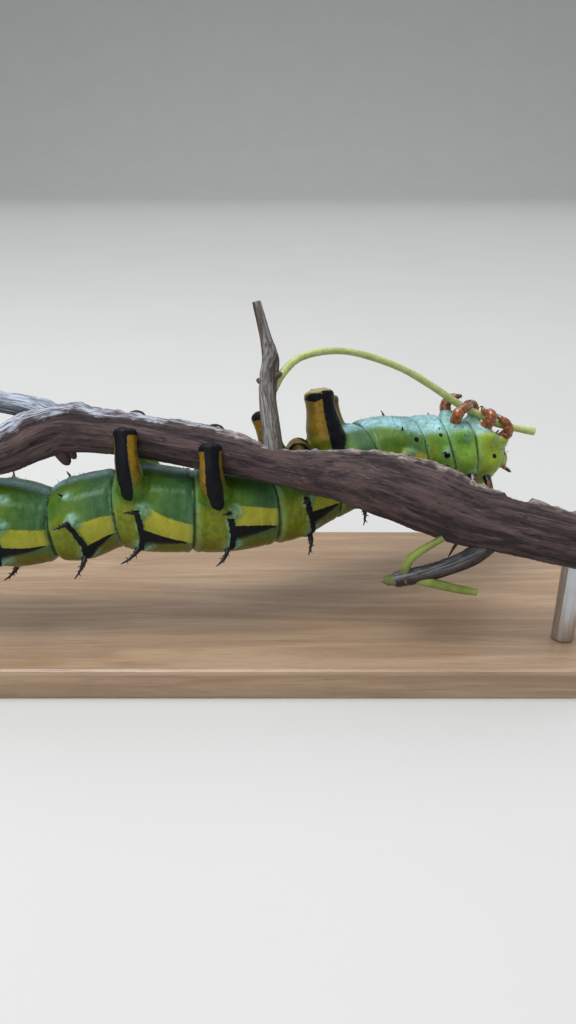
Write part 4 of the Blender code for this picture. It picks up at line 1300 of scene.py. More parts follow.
def make_head():
    """The head: shell, jaws, feelers, lip, palps and six small eyes a side."""
    head = Head()
    shell = gathered([head.case(), head.tube(FOREHEAD, close=0.2), head.tube(LIP, close=0.18)])
    piece(shell, "head_shell", head_finish(), ("head",))
    mouth = [head.tube(SPINNERET)]
    for side in (1, -1):
        mouth.append(head.tube(JAW, side=side, bulge=jaw_ribs))
        mouth.append(head.tube(PALP, side=side, bulge=palp_joint))
    piece(gathered(mouth), "head_jaws", claw_finish())
    feelers = [head.tube(FEELER, side=side, bulge=feeler_joints) for side in (1, -1)]
    piece(gathered(feelers), "head_feelers", horn_finish())
    eyes = []
    for side in (1, -1):
        for ahead, up, out in EYES:
            centre = head.place(ahead, up, side * out)
            away = unit(centre - head.middle)
            reach = EYE_RADIUS * MM
            back, front = centre - 1.2 * reach * away, centre + 0.9 * reach * away
            bow = Bow(back, centre + 0.01 * reach * head.face, front)
            eyes.append(bow.form(14, 12, eye_size))
    piece(gathered(eyes), "head_eyes", eye_finish())


class Finish:
    """A material being built: one Principled shader and the nodes that feed it."""

    def __init__(self, name, roughness=0.5, **fixed):
        self.material = bpy.data.materials.new(name)
        self.material.use_nodes = True
        self.nodes = self.material.node_tree.nodes
        self.links = self.material.node_tree.links
        self.shader = self.nodes["Principled BSDF"]
        self.set("Roughness", roughness)
        for socket, value in fixed.items():
            self.set(socket.replace("_", " "), value)

    def set(self, socket, value):
        """Puts a value or another node's output into one of the shader's sockets."""
        self.put(self.shader.inputs[socket], value)

    def put(self, socket, value):
        """Puts a value or another node's output into a socket."""
        if isinstance(value, bpy.types.NodeSocket):
            self.links.new(value, socket)
        elif isinstance(value, tuple) and len(value) == 3 and len(socket.default_value) == 4:
            socket.default_value = (*value, 1.0)
        else:
            socket.default_value = value

    def number(self, name):
        """The number that a mesh keeps under a name."""
        node = self.nodes.new("ShaderNodeAttribute")
        node.attribute_name = name
        return node.outputs["Fac"]

    def place(self, scale=(1.0, 1.0, 1.0), turn=(0.0, 0.0, 0.0)):
        """Object coordinates, stretched and turned."""
        node = self.nodes.new("ShaderNodeMapping")
        node.inputs["Scale"].default_value = scale
        node.inputs["Rotation"].default_value = [math.radians(angle) for angle in turn]
        self.links.new(self.nodes.new("ShaderNodeTexCoord").outputs["Object"], node.inputs["Vector"])
        return node.outputs["Vector"]

    def along_grain(self, scale):
        """The piece's own grain coordinates, stretched: along it, then across."""
        node = self.nodes.new("ShaderNodeMapping")
        node.inputs["Scale"].default_value = scale
        grain = self.nodes.new("ShaderNodeAttribute")
        grain.attribute_name = "grain"
        self.links.new(grain.outputs["Vector"], node.inputs["Vector"])
        return node.outputs["Vector"]

    def noise(self, scale, detail=3.0, rough=0.55, at=None, twist=0.0):
        """Cloudy noise, 0 to 1."""
        node = self.nodes.new("ShaderNodeTexNoise")
        self.put(node.inputs["Scale"], scale)
        self.put(node.inputs["Detail"], detail)
        self.put(node.inputs["Roughness"], rough)
        self.put(node.inputs["Distortion"], twist)
        self.links.new(at or self.place(), node.inputs["Vector"])
        return node.outputs["Fac"]

    def cells(self, scale, at=None, feature="F1", randomness=1.0):
        """The distance to scattered points."""
        node = self.nodes.new("ShaderNodeTexVoronoi")
        node.feature = feature
        self.put(node.inputs["Scale"], scale)
        self.put(node.inputs["Randomness"], randomness)
        self.links.new(at or self.place(), node.inputs["Vector"])
        return node.outputs["Distance"]

    def sum(self, kind, a, b=0.0, c=None):
        """One step of arithmetic."""
        node = self.nodes.new("ShaderNodeMath")
        node.operation = kind
        self.put(node.inputs[0], a)
        self.put(node.inputs[1], b)
        if c is not None:
            self.put(node.inputs[2], c)
        return node.outputs["Value"]

    def span(self, value, low, high, start=0.0, end=1.0, smooth=True):
        """A value's way from low to high, as start to end."""
        node = self.nodes.new("ShaderNodeMapRange")
        node.interpolation_type = "SMOOTHSTEP" if smooth else "LINEAR"
        for socket, given in zip(node.inputs, (value, low, high, start, end)):
            self.put(socket, given)
        return node.outputs["Result"]

    def mix(self, share, a, b, blend="MIX"):
        """Two colours mixed."""
        node = self.nodes.new("ShaderNodeMix")
        node.data_type = "RGBA"
        node.blend_type = blend
        self.put(node.inputs["Factor"], share)
        self.put(node.inputs["A"], a)
        self.put(node.inputs["B"], b)
        return node.outputs["Result"]

    def group(self, name, **given):
        """One of the shared effects, with its own values."""
        node = self.nodes.new("ShaderNodeGroup")
        node.node_tree = bpy.data.node_groups[name]
        for socket, value in given.items():
            self.put(node.inputs[socket.replace("_", " ")], value)
        return node.outputs

    def bump(self, height, strength, distance):
        """Sends a height into the shader's normal."""
        node = self.nodes.new("ShaderNodeBump")
        node.inputs["Strength"].default_value = strength
        node.inputs["Distance"].default_value = distance
        self.links.new(height, node.inputs["Height"])
        self.set("Normal", node.outputs["Normal"])


class Group(Finish):
    """A shared effect being built: its sockets are named when it is made."""

    def __init__(self, name, inputs, outputs):
        tree = bpy.data.node_groups.new(name, "ShaderNodeTree")
        for socket, value in inputs.items():
            kind = "NodeSocketVector" if isinstance(value, tuple) else "NodeSocketFloat"
            made = tree.interface.new_socket(socket, in_out="INPUT", socket_type=kind)
            made.default_value = value
        for socket in outputs:
            tree.interface.new_socket(socket, in_out="OUTPUT", socket_type="NodeSocketFloat")
        self.nodes, self.links = tree.nodes, tree.links
        self.inner = self.nodes.new("NodeGroupInput").outputs
        self.outer = self.nodes.new("NodeGroupOutput").inputs

    def stretch(self, scale):
        """The grain given to this effect, stretched."""
        node = self.nodes.new("ShaderNodeMapping")
        node.inputs["Scale"].default_value = scale
        self.links.new(self.inner["Grain"], node.inputs["Vector"])
        return node.outputs["Vector"]


def make_groups():
    """The effects that several finishes share."""
    group = Group("mottle", {"Scale": 300.0, "Low": 0.3, "High": 0.7}, ("Cloud", "Speckle"))
    cloud = group.noise(group.inner["Scale"], 4.0, 0.6)
    group.links.new(group.span(cloud, group.inner["Low"], group.inner["High"]), group.outer["Cloud"])
    speckle = group.noise(group.sum("MULTIPLY", group.inner["Scale"], 7.0), 2.0, 0.6)
    group.links.new(group.span(speckle, 0.42, 0.62), group.outer["Speckle"])

    group = Group("pebbles", {"Scale": 2500.0, "Depth": 1.0}, ("Height",))
    small = group.cells(group.inner["Scale"], feature="SMOOTH_F1")
    broad = group.noise(group.sum("MULTIPLY", group.inner["Scale"], 0.24), 3.0, 0.6)
    height = group.sum("MULTIPLY_ADD", small, -0.55, broad)
    group.links.new(group.sum("MULTIPLY", height, group.inner["Depth"]), group.outer["Height"])

    group = Group("fibres", {"Grain": (0.0, 0.0, 0.0), "Fineness": 1.0}, ("Broad", "Thin", "Pits"))
    broad = group.noise(group.inner["Fineness"], 4.0, 0.6, group.stretch((60.0, 620.0, 620.0)), 0.5)
    thin = group.noise(group.inner["Fineness"], 3.0, 0.65, group.stretch((190.0, 3400.0, 3400.0)), 0.2)
    pits = group.noise(group.inner["Fineness"], 2.0, 0.5, group.stretch((420.0, 1500.0, 1500.0)), 0.4)
    group.links.new(broad, group.outer["Broad"])
    group.links.new(thin, group.outer["Thin"])
    group.links.new(group.span(pits, 0.64, 0.74), group.outer["Pits"])


def crisp(finish, name, jitter, soft=0.05):
    """A marking's share, 0 to 1, from its signed distance, with a slightly ragged edge."""
    edge = finish.sum("MULTIPLY_ADD", finish.noise(1500.0, 3.0, 0.6), jitter, finish.number(name))
    return finish.span(finish.sum("SUBTRACT", edge, 0.5 * jitter), -soft, soft)


def skin_finish():
    """Soft waxy skin: greens that change along the body, yellow and black patches, and dark folds."""
    finish = Finish("skin_green", 0.42, Specular_IOR_Level=0.14, Coat_Roughness=0.28)
    mottle = finish.group("mottle", Scale=260.0, Low=0.3, High=0.7)["Cloud"]
    fine = finish.group("mottle", Scale=900.0, Low=0.35, High=0.65)["Cloud"]
    front = finish.number("front")
    flank = skin_flank(finish, mottle, fine, front)
    colour = skin_marks(finish, flank, mottle, fine, front)
    colour, dark = proleg_colours(finish, colour, mottle, fine)
    depth = finish.span(finish.number("black_depth"), 0.0, 0.5)
    wedge = finish.sum("MULTIPLY", crisp(finish, "black_patch", 0.5), depth)
    black = finish.sum("MAXIMUM", wedge, crisp(finish, "dark_spot", 0.3))
    black = finish.sum("MAXIMUM", black, crisp(finish, "black_line", 0.75))
    black = finish.sum("MAXIMUM", black, dark)
    colour = finish.mix(black, colour, (0.003, 0.0035, 0.006))
    finish.set("Base Color", colour)
    finish.set("Roughness", finish.span(fine, 0.0, 1.0, 0.34, 0.52))
    sheen = finish.span(finish.number("belly"), 0.0, 1.0, 0.22, 0.45)
    finish.set("Coat Weight", finish.sum("MULTIPLY", sheen, finish.sum("SUBTRACT", 1.0, black)))
    wrinkles = finish.noise(1.0, 4.0, 0.62, finish.place((1100.0, 260.0, 260.0)), 0.4)
    pebbles = finish.group("pebbles", Scale=2300.0, Depth=0.5)
    finish.bump(finish.sum("MULTIPLY_ADD", wrinkles, 1.1, pebbles["Height"]), 0.75, 0.00028)
    return finish.material


def skin_flank(finish, mottle, fine, front):
    """The body's ground colours: green sides, olive behind each ring of spines, lime on the chest."""
    part = finish.number("ring_share")
    rear_green = finish.mix(mottle, (0.038, 0.1, 0.005), (0.09, 0.165, 0.008))
    fore_green = finish.mix(mottle, (0.022, 0.072, 0.02), (0.046, 0.122, 0.045))
    flank = finish.mix(finish.span(part, 0.4, 0.85), rear_green, fore_green)
    flank = finish.mix(finish.sum("MULTIPLY", fine, 0.25), flank, (0.06, 0.135, 0.03))
    chest = finish.mix(mottle, (0.085, 0.22, 0.03), (0.2, 0.34, 0.035))
    colour = finish.mix(front, flank, chest)
    olive = finish.mix(fine, (0.105, 0.135, 0.003), (0.165, 0.195, 0.006))
    rear_share = finish.sum("MULTIPLY", finish.number("behind_ring"), finish.sum("SUBTRACT", 1.0, front))
    colour = finish.mix(rear_share, colour, olive)
    colour = finish.mix(finish.sum("MULTIPLY", finish.number("back"), 0.85), colour, (0.115, 0.1, 0.006))
    lime = finish.mix(mottle, (0.26, 0.36, 0.012), (0.4, 0.45, 0.03))
    return finish.mix(finish.sum("MULTIPLY", finish.number("neck"), 0.8), colour, lime)


def skin_marks(finish, colour, mottle, fine, front):
    """The painted bluish sky reflection on the belly, painted pale aqua highlights on the warts and beside
    the black lines, yellow patches, freckles, and the dark joints.
    """
    # Painted reflection: a pale blue-white sky sheen on the belly, broken up by the mottle.
    painted_sky_sheen = finish.mix(fine, (0.17, 0.4, 0.42), (0.36, 0.58, 0.7))
    share = finish.sum("MULTIPLY", finish.number("belly"), finish.span(mottle, 0.0, 1.0, 0.55, 0.95))
    colour = finish.mix(share, colour, painted_sky_sheen)
    # Painted highlight: pale aqua on the warts round the spine roots and just beside each black line.
    painted_aqua_highlight = finish.mix(fine, (0.12, 0.31, 0.2), (0.25, 0.44, 0.35))
    pale = finish.sum("MULTIPLY", finish.number("wart"), finish.span(fine, 0.0, 1.0, 0.35, 0.8))
    line = finish.number("black_line")
    edge = finish.sum("MULTIPLY", finish.span(line, -0.7, -0.15), finish.span(mottle, 0.3, 0.8, 0.0, 0.55))
    colour = finish.mix(finish.sum("MAXIMUM", pale, edge), colour, painted_aqua_highlight)
    yellow = finish.mix(mottle, (0.25, 0.265, 0.012), (0.37, 0.345, 0.03))
    bare = finish.span(finish.number("wart"), 0.0, 1.0, 0.97, 0.3)
    share = finish.sum("MULTIPLY", crisp(finish, "yellow_patch", 0.5, 0.2), bare)
    share = finish.sum("MULTIPLY", share, finish.span(line, -0.55, -0.2, 1.0, 0.35))
    colour = finish.mix(share, colour, yellow)
    dots = finish.span(finish.cells(640.0), 0.11, 0.17, 1.0, 0.0)
    where = finish.sum("MAXIMUM", finish.number("belly"), finish.sum("MULTIPLY", front, 0.35))
    dots = finish.sum("MULTIPLY", dots, finish.span(where, 0.15, 0.8))
    colour = finish.mix(finish.sum("MULTIPLY", dots, 0.75), colour, (0.02, 0.05, 0.04))
    gap = finish.number("joint_gap")
    rim = finish.sum("MULTIPLY", finish.span(gap, 0.35, 1.3, 1.0, 0.0), finish.span(gap, 0.12, 0.35))
    colour = finish.mix(finish.sum("MULTIPLY", rim, 0.22), colour, (0.2, 0.42, 0.26))
    return finish.mix(finish.span(gap, 0.0, 0.32, 0.94, 0.0), colour, (0.006, 0.024, 0.008))


def proleg_colours(finish, colour, mottle, fine):
    """The yellow-brown prolegs with orange beside a dark stripe, a banded foot and a pale sole."""
    brown = finish.mix(mottle, (0.085, 0.062, 0.003), (0.19, 0.125, 0.006))
    foot = finish.span(finish.number("proleg_share"), 0.3, 0.62)
    colour = finish.mix(finish.sum("MULTIPLY", finish.number("proleg"), foot), colour, brown)
    orange = finish.mix(fine, (0.16, 0.085, 0.004), (0.28, 0.15, 0.007))
    lit = finish.sum("MULTIPLY", crisp(finish, "proleg_orange", 0.6, 0.5), foot)
    colour = finish.mix(finish.sum("MULTIPLY", lit, 0.85), colour, orange)
    sole = crisp(finish, "proleg_sole", 0.2, 0.15)
    colour = finish.mix(sole, colour, (0.38, 0.32, 0.15))
    dark = finish.sum("MAXIMUM", crisp(finish, "proleg_stripe", 0.6), crisp(finish, "proleg_band", 0.3))
    return colour, dark


def spine_finish():
    """Hard black spines with a bluish gloss and finely ridged sides."""
    finish = Finish("spine_black", 0.3, Specular_IOR_Level=0.4)
    mottle = finish.group("mottle", Scale=1400.0, Low=0.35, High=0.7)
    finish.set("Base Color", finish.mix(mottle["Cloud"], (0.003, 0.0035, 0.005), (0.009, 0.01, 0.014)))
    finish.set("Roughness", finish.span(mottle["Speckle"], 0.0, 1.0, 0.24, 0.46))
    finish.bump(finish.group("pebbles", Scale=5200.0, Depth=0.7)["Height"], 0.4, 0.00012)
    return finish.material


def horn_finish():
    """Glossy orange horn that turns black at its tip and on its spinelets."""
    finish = Finish("horn_orange", 0.28, Coat_Weight=0.5, Coat_Roughness=0.12)
    mottle = finish.group("mottle", Scale=700.0, Low=0.3, High=0.7)
    colour = finish.mix(mottle["Cloud"], (0.36, 0.1, 0.012), (0.62, 0.2, 0.025))
    share = finish.sum("MULTIPLY_ADD", mottle["Cloud"], 0.12, finish.number("tipward"))
    colour = finish.mix(finish.span(share, 0.3, 0.42, 0.75, 0.0), colour, (0.15, 0.035, 0.008))
    colour = finish.mix(finish.span(share, 0.2, 0.28, 1.0, 0.0), colour, (0.006, 0.005, 0.006))
    colour = finish.mix(finish.span(share, 0.62, 0.78), colour, (0.008, 0.006, 0.008))
    finish.set("Base Color", colour)
    finish.set("Roughness", finish.span(mottle["Speckle"], 0.0, 1.0, 0.2, 0.4))
    finish.bump(finish.group("pebbles", Scale=3600.0, Depth=0.7)["Height"], 0.35, 0.00012)
    return finish.material


def leg_finish():
    """Clear amber shell, darker at every joint and towards the claw."""
    finish = Finish("leg_amber", 0.2, Coat_Weight=0.6, Coat_Roughness=0.08)
    mottle = finish.group("mottle", Scale=900.0, Low=0.3, High=0.7)
    colour = finish.mix(mottle["Cloud"], (0.14, 0.032, 0.004), (0.33, 0.1, 0.017))
    share = finish.number("tipward")
    for at in LEG_JOINTS:
        ring = finish.span(finish.sum("ABSOLUTE", finish.sum("SUBTRACT", share, at)), 0.005, 0.03, 0.7, 0.0)
        colour = finish.mix(ring, colour, (0.04, 0.01, 0.006))
    colour = finish.mix(finish.span(share, 0.84, 1.0, 0.0, 0.85), colour, (0.03, 0.01, 0.008))
    finish.set("Base Color", colour)
    finish.set("Roughness", finish.span(mottle["Speckle"], 0.0, 1.0, 0.12, 0.3))
    finish.bump(finish.group("pebbles", Scale=3000.0, Depth=0.5)["Height"], 0.2, 0.0001)
    return finish.material


def claw_finish():
    """Dark brown horn of claws, hooks and jaws."""
    finish = Finish("claw_dark", 0.22, Coat_Weight=0.6, Coat_Roughness=0.1)
    mottle = finish.group("mottle", Scale=1300.0, Low=0.3, High=0.7)
    finish.set("Base Color", finish.mix(mottle["Cloud"], (0.012, 0.006, 0.005), (0.07, 0.022, 0.01)))
    finish.set("Roughness", finish.span(mottle["Speckle"], 0.0, 1.0, 0.16, 0.34))
    finish.bump(finish.group("pebbles", Scale=4200.0, Depth=0.5)["Height"], 0.25, 0.0001)
    return finish.material


def head_finish():
    """Red-brown head shell with darker marbling and a satin gloss."""
    finish = Finish("head_brown", 0.26, Coat_Weight=0.55, Coat_Roughness=0.12)
    mottle = finish.group("mottle", Scale=420.0, Low=0.3, High=0.7)
    fine = finish.group("mottle", Scale=1500.0, Low=0.35, High=0.65)
    colour = finish.mix(mottle["Cloud"], (0.17, 0.032, 0.008), (0.42, 0.1, 0.02))
    colour = finish.mix(finish.sum("MULTIPLY", fine["Cloud"], 0.35), colour, (0.09, 0.02, 0.012))
    finish.set("Base Color", colour)
    finish.set("Roughness", finish.span(fine["Speckle"], 0.0, 1.0, 0.18, 0.4))
    finish.bump(finish.group("pebbles", Scale=2600.0, Depth=0.8)["Height"], 0.35, 0.00015)
    return finish.material


def eye_finish():
    """Small clear dark eyes."""
    finish = Finish("eye_black", 0.06, Coat_Weight=1.0, Coat_Roughness=0.03)
    mottle = finish.group("mottle", Scale=2600.0, Low=0.3, High=0.7)
    finish.set("Base Color", finish.mix(mottle["Cloud"], (0.006, 0.004, 0.004), (0.03, 0.014, 0.01)))
    return finish.material


def bark_finish(name, deep, middle, light, crest, top_light_share):
    """Dry bark with long streaks along its grain, dark pits, and painted light on its top crest, bluish
    where a painted sky reflection is mixed in.
    """
    finish = Finish(name, 0.85, Specular_IOR_Level=0.25)
    fibres = finish.group("fibres", Grain=finish.along_grain((1.0, 1.0, 1.0)), Fineness=1.0)
    mottle = finish.group("mottle", Scale=120.0, Low=0.3, High=0.7)
    fine = finish.group("mottle", Scale=700.0, Low=0.4, High=0.7)
    colour = finish.mix(finish.span(fibres["Broad"], 0.32, 0.62), deep, middle)
    streak = finish.sum("MULTIPLY", finish.span(fibres["Thin"], 0.5, 0.72), 0.75)
    colour = finish.mix(streak, colour, light)
    colour = finish.mix(finish.sum("MULTIPLY", mottle["Cloud"], 0.35), colour, deep)
    furrow = finish.span(finish.number("ridge"), -0.5, 0.0, 0.7, 0.0)
    colour = finish.mix(furrow, colour, (0.014, 0.009, 0.011))
    # Painted reflection: the crest's colour turns pale blue where a sky reflection is painted in.
    crest = finish.mix(finish.number("painted_sky_tint"), crest, (0.5, 0.57, 0.68))
    # Painted light: the top crest is paler where light from above falls on it.
    lit_top = finish.sum("MULTIPLY", finish.number("crest"), finish.span(fibres["Broad"], 0.3, 0.55, 0.6, 1.0))
    # rim: the painted crest light, streaked by the fibres.
    rim = finish.mix(finish.span(fibres["Thin"], 0.4, 0.6), middle, crest)
    colour = finish.mix(finish.sum("MULTIPLY", lit_top, top_light_share), colour, rim)
    colour = finish.mix(finish.sum("MULTIPLY", fibres["Pits"], 0.7), colour, (0.012, 0.008, 0.01))
    rings = finish.sum("SINE", finish.sum("MULTIPLY", finish.number("ring_depth"), 60.0))
    wood = finish.mix(finish.span(rings, -1.0, 1.0), (0.3, 0.19, 0.1), (0.5, 0.36, 0.21))
    finish.set("Base Color", finish.mix(finish.number("cut_face"), colour, wood))
    finish.set("Roughness", finish.span(fine["Speckle"], 0.0, 1.0, 0.74, 0.92))
    height = finish.sum("MULTIPLY_ADD", fibres["Thin"], 0.6, fibres["Broad"])
    finish.bump(finish.sum("MULTIPLY_ADD", fibres["Pits"], -0.3, height), 0.85, 0.0006)
    return finish.material


def stalk_finish(name, dull, bright):
    """Waxy green stalk with a faint brown blush."""
    finish = Finish(name, 0.42, Coat_Weight=0.12, Coat_Roughness=0.3)
    mottle = finish.group("mottle", Scale=260.0, Low=0.3, High=0.7)
    fine = finish.group("mottle", Scale=1500.0, Low=0.4, High=0.65)
    colour = finish.mix(mottle["Cloud"], dull, bright)
    colour = finish.mix(finish.sum("MULTIPLY", fine["Cloud"], 0.3), colour, (0.2, 0.13, 0.05))
    finish.set("Base Color", colour)
    finish.set("Roughness", finish.span(fine["Speckle"], 0.0, 1.0, 0.34, 0.5))
    finish.bump(finish.group("pebbles", Scale=2200.0, Depth=0.5)["Height"], 0.3, 0.00012)
    return finish.material


def bud_finish():
    """Brown and green scales of a resting bud."""
    finish = Finish("bud_scales", 0.6)
    mottle = finish.group("mottle", Scale=500.0, Low=0.3, High=0.7)
    fine = finish.group("mottle", Scale=1600.0, Low=0.4, High=0.65)
    colour = finish.mix(mottle["Cloud"], (0.07, 0.035, 0.018), (0.16, 0.1, 0.04))
    green = finish.mix(finish.span(finish.number("crest"), 0.35, 0.75), (0.1, 0.13, 0.025), colour)
    colour = finish.mix(finish.span(finish.number("crest"), 0.0, 0.22, 1.0, 0.0), green, (0.22, 0.17, 0.1))
    speckle = finish.sum("MULTIPLY", fine["Cloud"], 0.3)
    finish.set("Base Color", finish.mix(speckle, colour, (0.05, 0.03, 0.02)))
    finish.bump(finish.group("pebbles", Scale=2600.0, Depth=0.8)["Height"], 0.5, 0.0002)
    return finish.material


def base_finish():
    """Oiled wood with long grain and fine pores."""
    finish = Finish("base_oiled_wood", 0.42, Coat_Weight=0.15, Coat_Roughness=0.3)
    grain = finish.noise(1.0, 6.0, 0.6, finish.place((14.0, 210.0, 210.0)), 1.4)
    pores = finish.noise(1.0, 2.0, 0.7, finish.place((120.0, 2600.0, 2600.0)))
    colour = finish.mix(finish.span(grain, 0.35, 0.68), (0.29, 0.185, 0.11), (0.4, 0.275, 0.175))
    colour = finish.mix(finish.span(pores, 0.56, 0.7, 0.0, 0.4), colour, (0.17, 0.1, 0.055))
    finish.set("Base Color", colour)
    finish.set("Roughness", finish.span(pores, 0.4, 0.7, 0.3, 0.5))
    finish.bump(finish.sum("MULTIPLY_ADD", pores, -0.6, grain), 0.15, 0.00015)
    return finish.material


def rod_finish():
    """Steel rods with fine brushing along their length."""
    finish = Finish("rod_steel", 0.32, Metallic=1.0)
    lines = finish.noise(1.0, 3.0, 0.6, finish.place((5200.0, 5200.0, 60.0)))
    cloud = finish.group("mottle", Scale=120.0, Low=0.3, High=0.7)
    finish.set("Base Color", finish.mix(cloud["Cloud"], (0.5, 0.51, 0.53), (0.6, 0.61, 0.62)))
    finish.set("Roughness", finish.span(lines, 0.3, 0.7, 0.24, 0.42))
    finish.bump(lines, 0.12, 0.00005)
    return finish.material


# Bark relief: depths in metres, and the ridges' waves a metre along and across the grain.
RIDGE_DEPTH = 0.2 * MM
RIDGE_ALONG, RIDGE_ACROSS = 55.0, 620.0
CRUMB_DEPTH = 0.06 * MM
CREST_DEPTH = 0.55 * MM
CUT_SHARE = 0.012
# Where the crest of the branch starts, which is painted paler as lit from above: places along it
# (millimetres) and degrees up its side.
CREST_PLACES = (-60.0, -36.0, -22.0, -5.0, 12.0, 30.0, 70.0)
CREST_ANGLES = (40.0, 50.0, 60.0, 74.0, 80.0, 84.0, 86.0)
# A torn notch in the crest: its middle and half length, and its depth, in millimetres.
NOTCH = (53.5, 3.4, 0.8)


def bark_swell(along, turn):
    """The branch's uneven thickness: long low ridges that wander round it, and a crest on top."""
    wander = 90.0 * along
    ridges = 0.6 * np.sin(3 * turn + 1.3 * wander) + 0.4 * np.sin(5 * turn - 2.1 * wander + 1.0)
    crest = np.maximum(0.0, np.sin(turn)) ** 6
    return 1.0 + BARK_SWELL * ridges + BARK_CREST * crest


class Wood:
    """A piece of branch or twig: its middle line, its thickness, and the relief of its bark."""

    def __init__(self, points, relief=1.0, swell=None, cut_ends=(True, True), seed=1.0, is_branch=False):
        self.route = Route(points)
        self.radii = np.array([point[3] for point in points]) * MM
        self.relief, self.swell, self.cut_ends = relief, swell, cut_ends
        self.seed, self.is_branch = seed, is_branch

    def crest(self, middle, degrees, noise_rows):
        """How far each point is on the top crest that gets painted light, 0 to 1."""
        start = 62.0
        if self.is_branch:
            start = np.interp(middle[:, 0] / MM, CREST_PLACES, CREST_ANGLES)
        return ease(degrees + 16.0 * noise_rows, start, start + 9.0) * (1.0 - ease(degrees, 150.0, 172.0))

    def bark(self, around, ahead):
        """Places on the bark, with the numbers that its finish reads."""
        body = np.clip((ahead - CUT_SHARE) / (1.0 - 2.0 * CUT_SHARE), 0.0, 1.0)
        along = body * self.route.length
        across, upward = self.route.sides(along)
        turn = math.tau * around
        side = column(np.cos(turn)) * across + column(np.sin(turn)) * upward
        middle = self.route.place(along)
        radius = np.interp(along, self.route.knots, self.radii)
        if self.swell:
            radius = radius * self.swell(along, turn)
        grain = np.stack([along, np.cos(turn) * radius, np.sin(turn) * radius], axis=-1)
        lines = grain * (RIDGE_ALONG, RIDGE_ACROSS, RIDGE_ACROSS)
        ridge = roughness_of(lines, 1.0, self.seed, 4)
        crumb = roughness_of(middle + column(radius) * side, 1500.0, self.seed + 4.0, 2)
        tear = roughness_of(grain * (260.0, 90.0, 90.0), 1.0, self.seed + 9.0, 3)
        degrees = np.degrees(turn)
        crest = self.crest(middle, degrees, tear)
        rough = RIDGE_DEPTH * ridge + CRUMB_DEPTH * crumb + CREST_DEPTH * crest * np.abs(tear)
        if self.is_branch:
            place, half, depth = NOTCH
            torn = 1.0 - ease(np.abs(middle[:, 0] / MM - place + 1.5 * tear), 0.7 * half, half)
            sunk = depth * MM * torn * ease(degrees, 70.0, 96.0)
            rough = rough - sunk * (1.0 - ease(degrees, 120.0, 150.0))
        end = np.where(ahead < 0.5, ahead, 1.0 - ahead) / CUT_SHARE
        is_cut = np.where(ahead < 0.5, self.cut_ends[0], self.cut_ends[1])
        flat = np.clip(end, 0.0, 1.0)
        dome = (1.0 - (1.0 - flat) ** 2) ** 0.5
        reach = (radius + self.relief * rough) * np.where(is_cut, flat, dome)
        # Painted sky reflection on the top of the branch's left part.
        painted_sky_tint = self.is_branch * (1.0 - ease(middle[:, 0] / MM + 8.0 * tear, -22.0, 8.0))
        cut_face = is_cut * (end < 0.97)
        numbers = {"ridge": ridge, "crest": crest, "painted_sky_tint": painted_sky_tint, "cut_face": cut_face, "ring_depth": flat}
        return middle + column(reach) * side, grain, numbers

    def form(self, sides, stations):
        """A closed form of this wood, which keeps its grain and numbers at every vertex."""
        form = bmesh.new()
        bmesh.ops.create_grid(form, x_segments=sides, y_segments=stations, size=1.0)
        flat = np.array([vert.co[:2] for vert in form.verts])
        around = np.round((flat[:, 0] + 1.0) * 0.5 * sides) / sides
        around = np.where(around >= 1.0, 0.0, around)
        ahead = np.round((flat[:, 1] + 1.0) * 0.5 * stations) / stations
        places, grain, numbers = self.bark(around, ahead)
        layers = [form.verts.layers.float.new(name) for name in numbers]
        rows = np.stack([np.asarray(values, float) for values in numbers.values()], axis=-1)
        way = form.verts.layers.float_vector.new("grain")
        for vert, place, lines, row in zip(form.verts, places, grain, rows):
            vert.co = place
            vert[way] = lines
            for layer, value in zip(layers, row):
                vert[layer] = value
        bmesh.ops.remove_doubles(form, verts=form.verts[:], dist=1e-6)
        face_outwards(form)
        return form


def scar_form(place, ahead, side, wide, high):
    """A low rounded leaf scar or bud on bark."""
    lifted = place + 0.3 * high * side + 0.1 * high * ahead
    bow = Bow(place - 0.4 * high * side, lifted, place + high * side + 0.5 * high * ahead)
    return bow.form(14, 12, lambda a, t: wide * (1.0 - 0.55 * t) * rounded_end(t, 0.3))


def bud_form(points, scales, seed):
    """A pointed bud wrapped in overlapping scales."""
    route = Route(points)

    def place(around, ahead):
        along = ahead * route.length
        across, upward = route.sides(along)
        turn = math.tau * around
        radius = np.interp(along, route.knots, np.array([point[3] for point in points]) * MM)
        row = ahead * scales
        step = 0.16 * (1.0 - (row - np.floor(row)))
        lobes = 0.07 * np.cos(2.0 * turn + math.pi * np.floor(row) + seed)
        reach = radius * (1.0 + step + lobes) * rounded_end(ahead, 0.05)
        ring = column(np.cos(turn)) * across + column(np.sin(turn)) * upward
        return route.place(along) + column(reach) * ring

    form = wrapped(28, 48, place)
    mark(form, 0.0, lambda point: 1.0 - float(route.closest(np.array([point]))[0] / route.length), "crest")
    return form


# Bark flakes that hang under the branch: place (millimetres), width and length.
FLAKES = (((-32.6, -1.6, 42.6), 1.7, 2.3), ((-30.9, -1.2, 42.9), 1.1, 1.5))
# Leaf scars and buds of the upright twig: distance up it, turn round it, width, height, in millimetres.
SCARS = (
    (15.4, 200, 0.95, 1.5),
    (16.4, 20, 0.9, 1.6),
    (12.0, 100, 0.5, 0.35),
    (19.0, -60, 0.45, 0.4),
    (7.0, -40, 0.5, 0.3),
)
BUD = (
    (33.9, -11.0, 20.75, 1.45), (32.3, -11.0, 20.4, 1.35),
    (30.6, -11.0, 20.2, 1.05), (28.4, -11.0, 20.1, 0.2),
)


